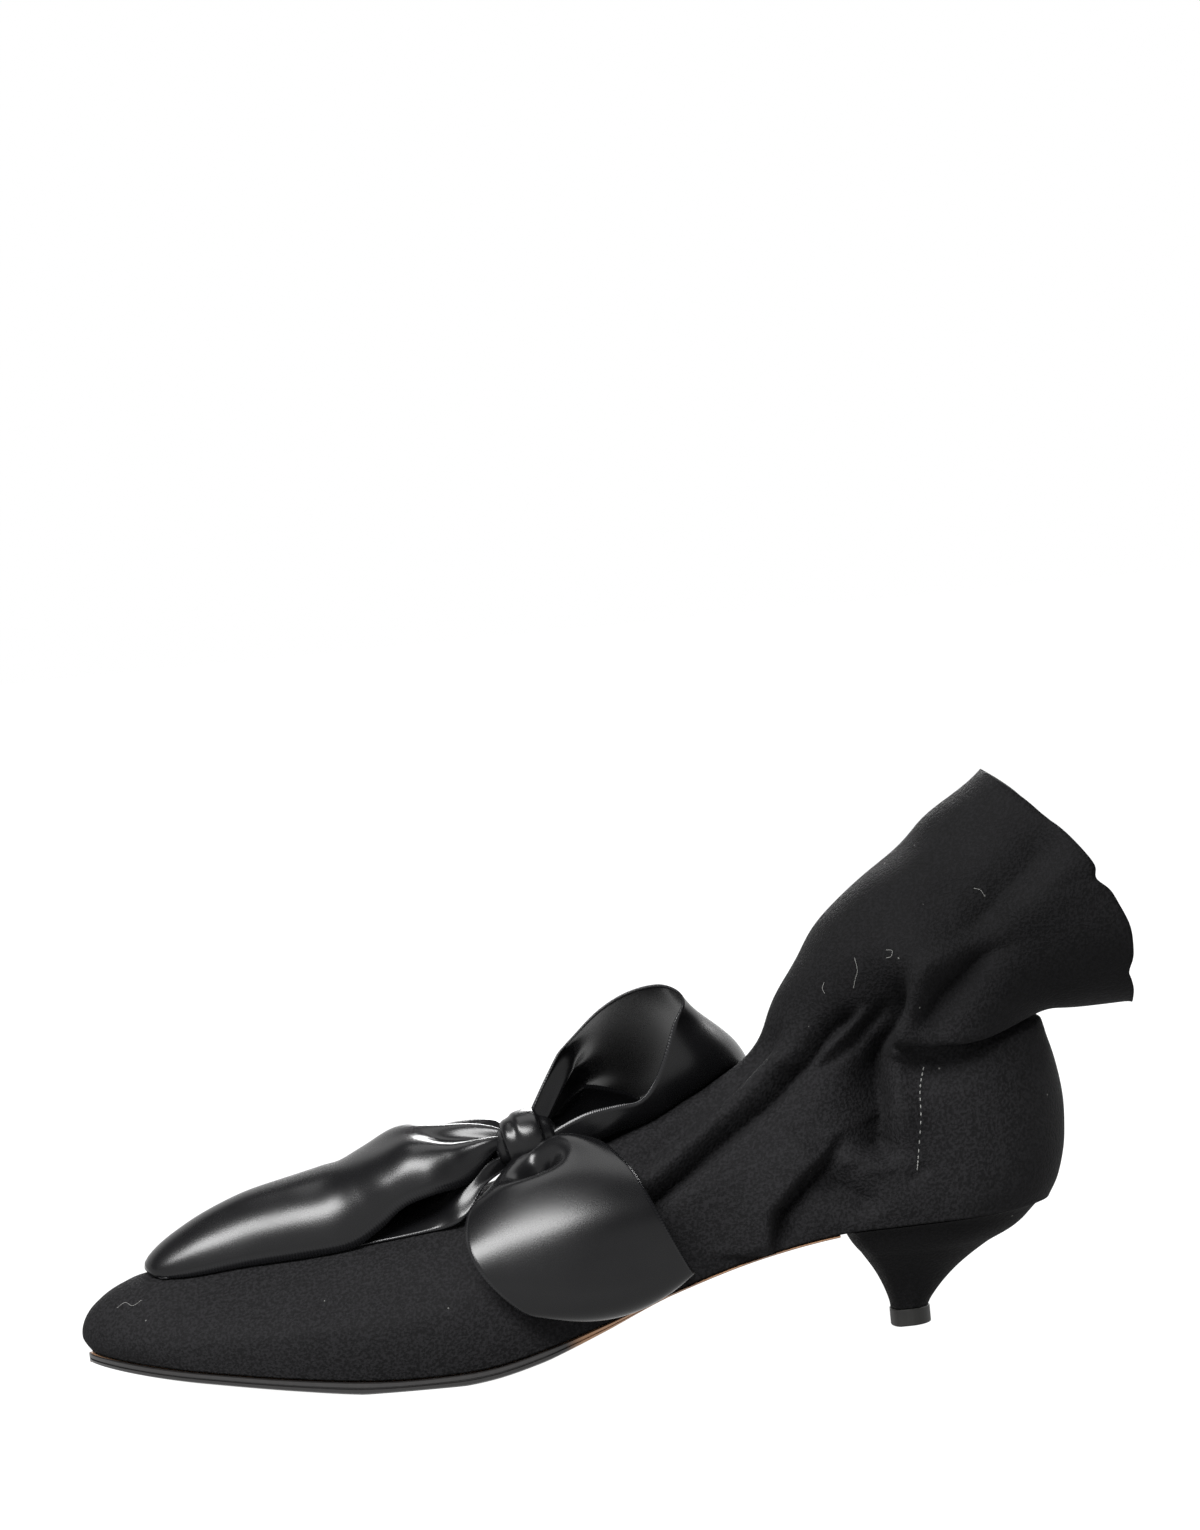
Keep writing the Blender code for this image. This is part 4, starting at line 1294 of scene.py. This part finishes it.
class BOOT_OT_heel(bpy.types.Operator):
    """Crepe-covered kitten heel on its rubber top piece"""

    bl_idname = "boot.make_heel"
    bl_label = "Heel and top piece"

    def execute(self, context):
        finish = context.scene.boot_finish
        cover = capped(grid_mesh("heel_cover", heel_grid(HEEL, HEEL_ROWS)), 50)
        add_piece("heel_cover", cover, [crepe_material(finish, "heel_crepe_painted_shade", HEEL_PAINTED_SHADE)], ["heel"])
        tip = HEEL[-1]
        plug = tip._replace(front_x=tip.front_x - TOP_PIECE_OVERHANG, back_x=tip.back_x + TOP_PIECE_OVERHANG)
        levels = [plug._replace(z=height) for height in (TOP_PIECE_HEIGHT, 0.0)]
        rubber = capped(grid_mesh("top_piece_rubber", heel_grid(levels, 1)), 50)
        piece = add_piece("top_piece_rubber", rubber, [rubber_material(finish)], ["top_piece"])
        soften = piece.modifiers.new("worn edges", "BEVEL")
        soften.width = 0.25 * MM
        soften.segments = 2
        soften.limit_method = "ANGLE"
        return {"FINISHED"}


class BOOT_OT_bow(bpy.types.Operator):
    """Three loops of satin ribbon"""

    bl_idname = "boot.make_bow"
    bl_label = "Ribbon loops"

    def execute(self, context):
        sizes = context.scene.boot_sizes
        tree = upper_tree()
        satin = satin_material(context.scene.boot_finish)
        for loop in LOOPS:
            name = f"ribbon_{loop.name}"
            points, uvs, length = ribbon_grid(loop, tree, sizes.rest / MM)
            mesh = grid_mesh(name, points, uvs, close=False)
            ribbon = add_piece(name, mesh, [satin], [f"bow_loop_{loop.name}"])
            thicken(ribbon, sizes.ribbon, 0.0)
            length * MM
        return {"FINISHED"}


class BOOT_OT_knot(bpy.types.Operator):
    """Pleated wrap that ties the loops"""

    bl_idname = "boot.make_knot"
    bl_label = "Knot"

    def execute(self, context):
        mesh = capped(grid_mesh("satin_knot", knot_grid()), 60)
        satin = satin_material(context.scene.boot_finish, "knot_satin", selvedges=False)
        add_piece("satin_knot", mesh, [satin], ["bow_knot"])
        return {"FINISHED"}


class BOOT_OT_stage(bpy.types.Operator):
    """Pale floor, soft light and the camera of the photograph"""

    bl_idname = "boot.make_stage"
    bl_label = "Stage"

    def execute(self, context):
        stage = context.scene.boot_stage
        context.scene.view_settings.view_transform = "Standard"
        self.add_floor(context.scene, stage)
        self.add_world(context.scene, stage)
        self.add_camera(context.scene, stage)
        for light in STUDIO_LIGHTS:
            self.add_light(context.scene, light)
        return {"FINISHED"}

    def add_floor(self, scene, stage):
        shape = bmesh.new()
        bmesh.ops.create_grid(shape, x_segments=8, y_segments=8, size=FLOOR_HALF)
        mesh = write_mesh("studio_floor", shape)
        mesh.materials.append(floor_material(stage))
        floor = bpy.data.objects.new("studio_floor", mesh)
        scene.collection.objects.link(floor)

    def add_world(self, scene, stage):
        recipe = Recipe(bpy.data.worlds.new("studio"), "Background")
        direction = recipe.node("ShaderNodeTexCoord", output="Generated")
        depth = recipe.part(direction, "Y")
        behind = depth.math("MAXIMUM", depth, 0.0)
        height = recipe.part(direction, "Z") - BACKDROP_RISE * behind
        dim = height.step(*BACKDROP_FADE)
        strength = stage.backdrop + (stage.ceiling - stage.backdrop) * dim
        scene.world = recipe.surface(Color=(1.0, 1.0, 1.0, 1.0), Strength=strength)

    def add_camera(self, scene, stage):
        lens = bpy.data.cameras.new("photo_camera")
        lens.sensor_width = stage.sensor
        lens.lens = PHOTO_SCALE * stage.distance / MM * stage.sensor / PHOTO_HEIGHT
        forward = Vector((0, math.cos(stage.elevation), -math.sin(stage.elevation)))
        level = Vector((1, 0, 0))
        upright = level.cross(forward)
        right = level * math.cos(stage.roll) - upright * math.sin(stage.roll)
        up = upright * math.cos(stage.roll) + level * math.sin(stage.roll)
        aim = Vector(in_metres(BALL_POINT))
        aim += right * (PHOTO_WIDTH / 2 - BALL_PIXEL[0]) / PHOTO_SCALE * MM
        aim += up * (BALL_PIXEL[1] - PHOTO_HEIGHT / 2) / PHOTO_SCALE * MM
        camera = bpy.data.objects.new("photo_camera", lens)
        scene.collection.objects.link(camera)
        turn = Matrix((right, up, -forward)).transposed().to_4x4()
        camera.matrix_world = Matrix.Translation(aim - forward * stage.distance) @ turn
        scene.camera = camera

    def add_light(self, scene, light):
        lamp = bpy.data.lights.new(light.name, "AREA")
        lamp.shape = "RECTANGLE"
        lamp.size = light.width
        lamp.size_y = light.depth
        lamp.energy = light.power
        holder = bpy.data.objects.new(light.name, lamp)
        scene.collection.objects.link(holder)
        holder.location = light.place
        toward = Vector(light.aim) - holder.location
        holder.rotation_euler = toward.to_track_quat("-Z", "Y").to_euler()


OPERATORS = (
    BOOT_OT_upper,
    BOOT_OT_stitches,
    BOOT_OT_lint,
    BOOT_OT_sole,
    BOOT_OT_heel,
    BOOT_OT_bow,
    BOOT_OT_knot,
    BOOT_OT_stage,
)


class BOOT_PT_panel(bpy.types.Panel):
    """Lists the boot's pieces, sizes and colours"""

    bl_idname = "BOOT_PT_panel"
    bl_label = "Sock Ankle Boot"
    bl_space_type = "VIEW_3D"
    bl_region_type = "UI"
    bl_category = "Boot"

    def draw(self, context):
        for group in (context.scene.boot_sizes, context.scene.boot_finish, context.scene.boot_stage):
            box = self.layout.box()
            for key in group.__annotations__:
                box.prop(group, key)
        for operator in OPERATORS:
            self.layout.operator(operator.bl_idname)


CLASSES = (BootSizes, BootFinish, BootStage) + OPERATORS + (BOOT_PT_panel,)


def register():
    for each in CLASSES:
        bpy.utils.register_class(each)
    bpy.types.Scene.boot_sizes = PointerProperty(type=BootSizes)
    bpy.types.Scene.boot_finish = PointerProperty(type=BootFinish)
    bpy.types.Scene.boot_stage = PointerProperty(type=BootStage)


def unregister():
    del bpy.types.Scene.boot_stage
    del bpy.types.Scene.boot_finish
    del bpy.types.Scene.boot_sizes
    for each in reversed(CLASSES):
        bpy.utils.unregister_class(each)


def main():
    register()
    bpy.ops.boot.make_stage()
    bpy.ops.boot.make_upper()
    bpy.ops.boot.make_stitches()
    bpy.ops.boot.make_lint()
    bpy.ops.boot.make_sole()
    bpy.ops.boot.make_heel()
    bpy.ops.boot.make_knot()
    bpy.ops.boot.make_bow()


if __name__ == "__main__":
    main()
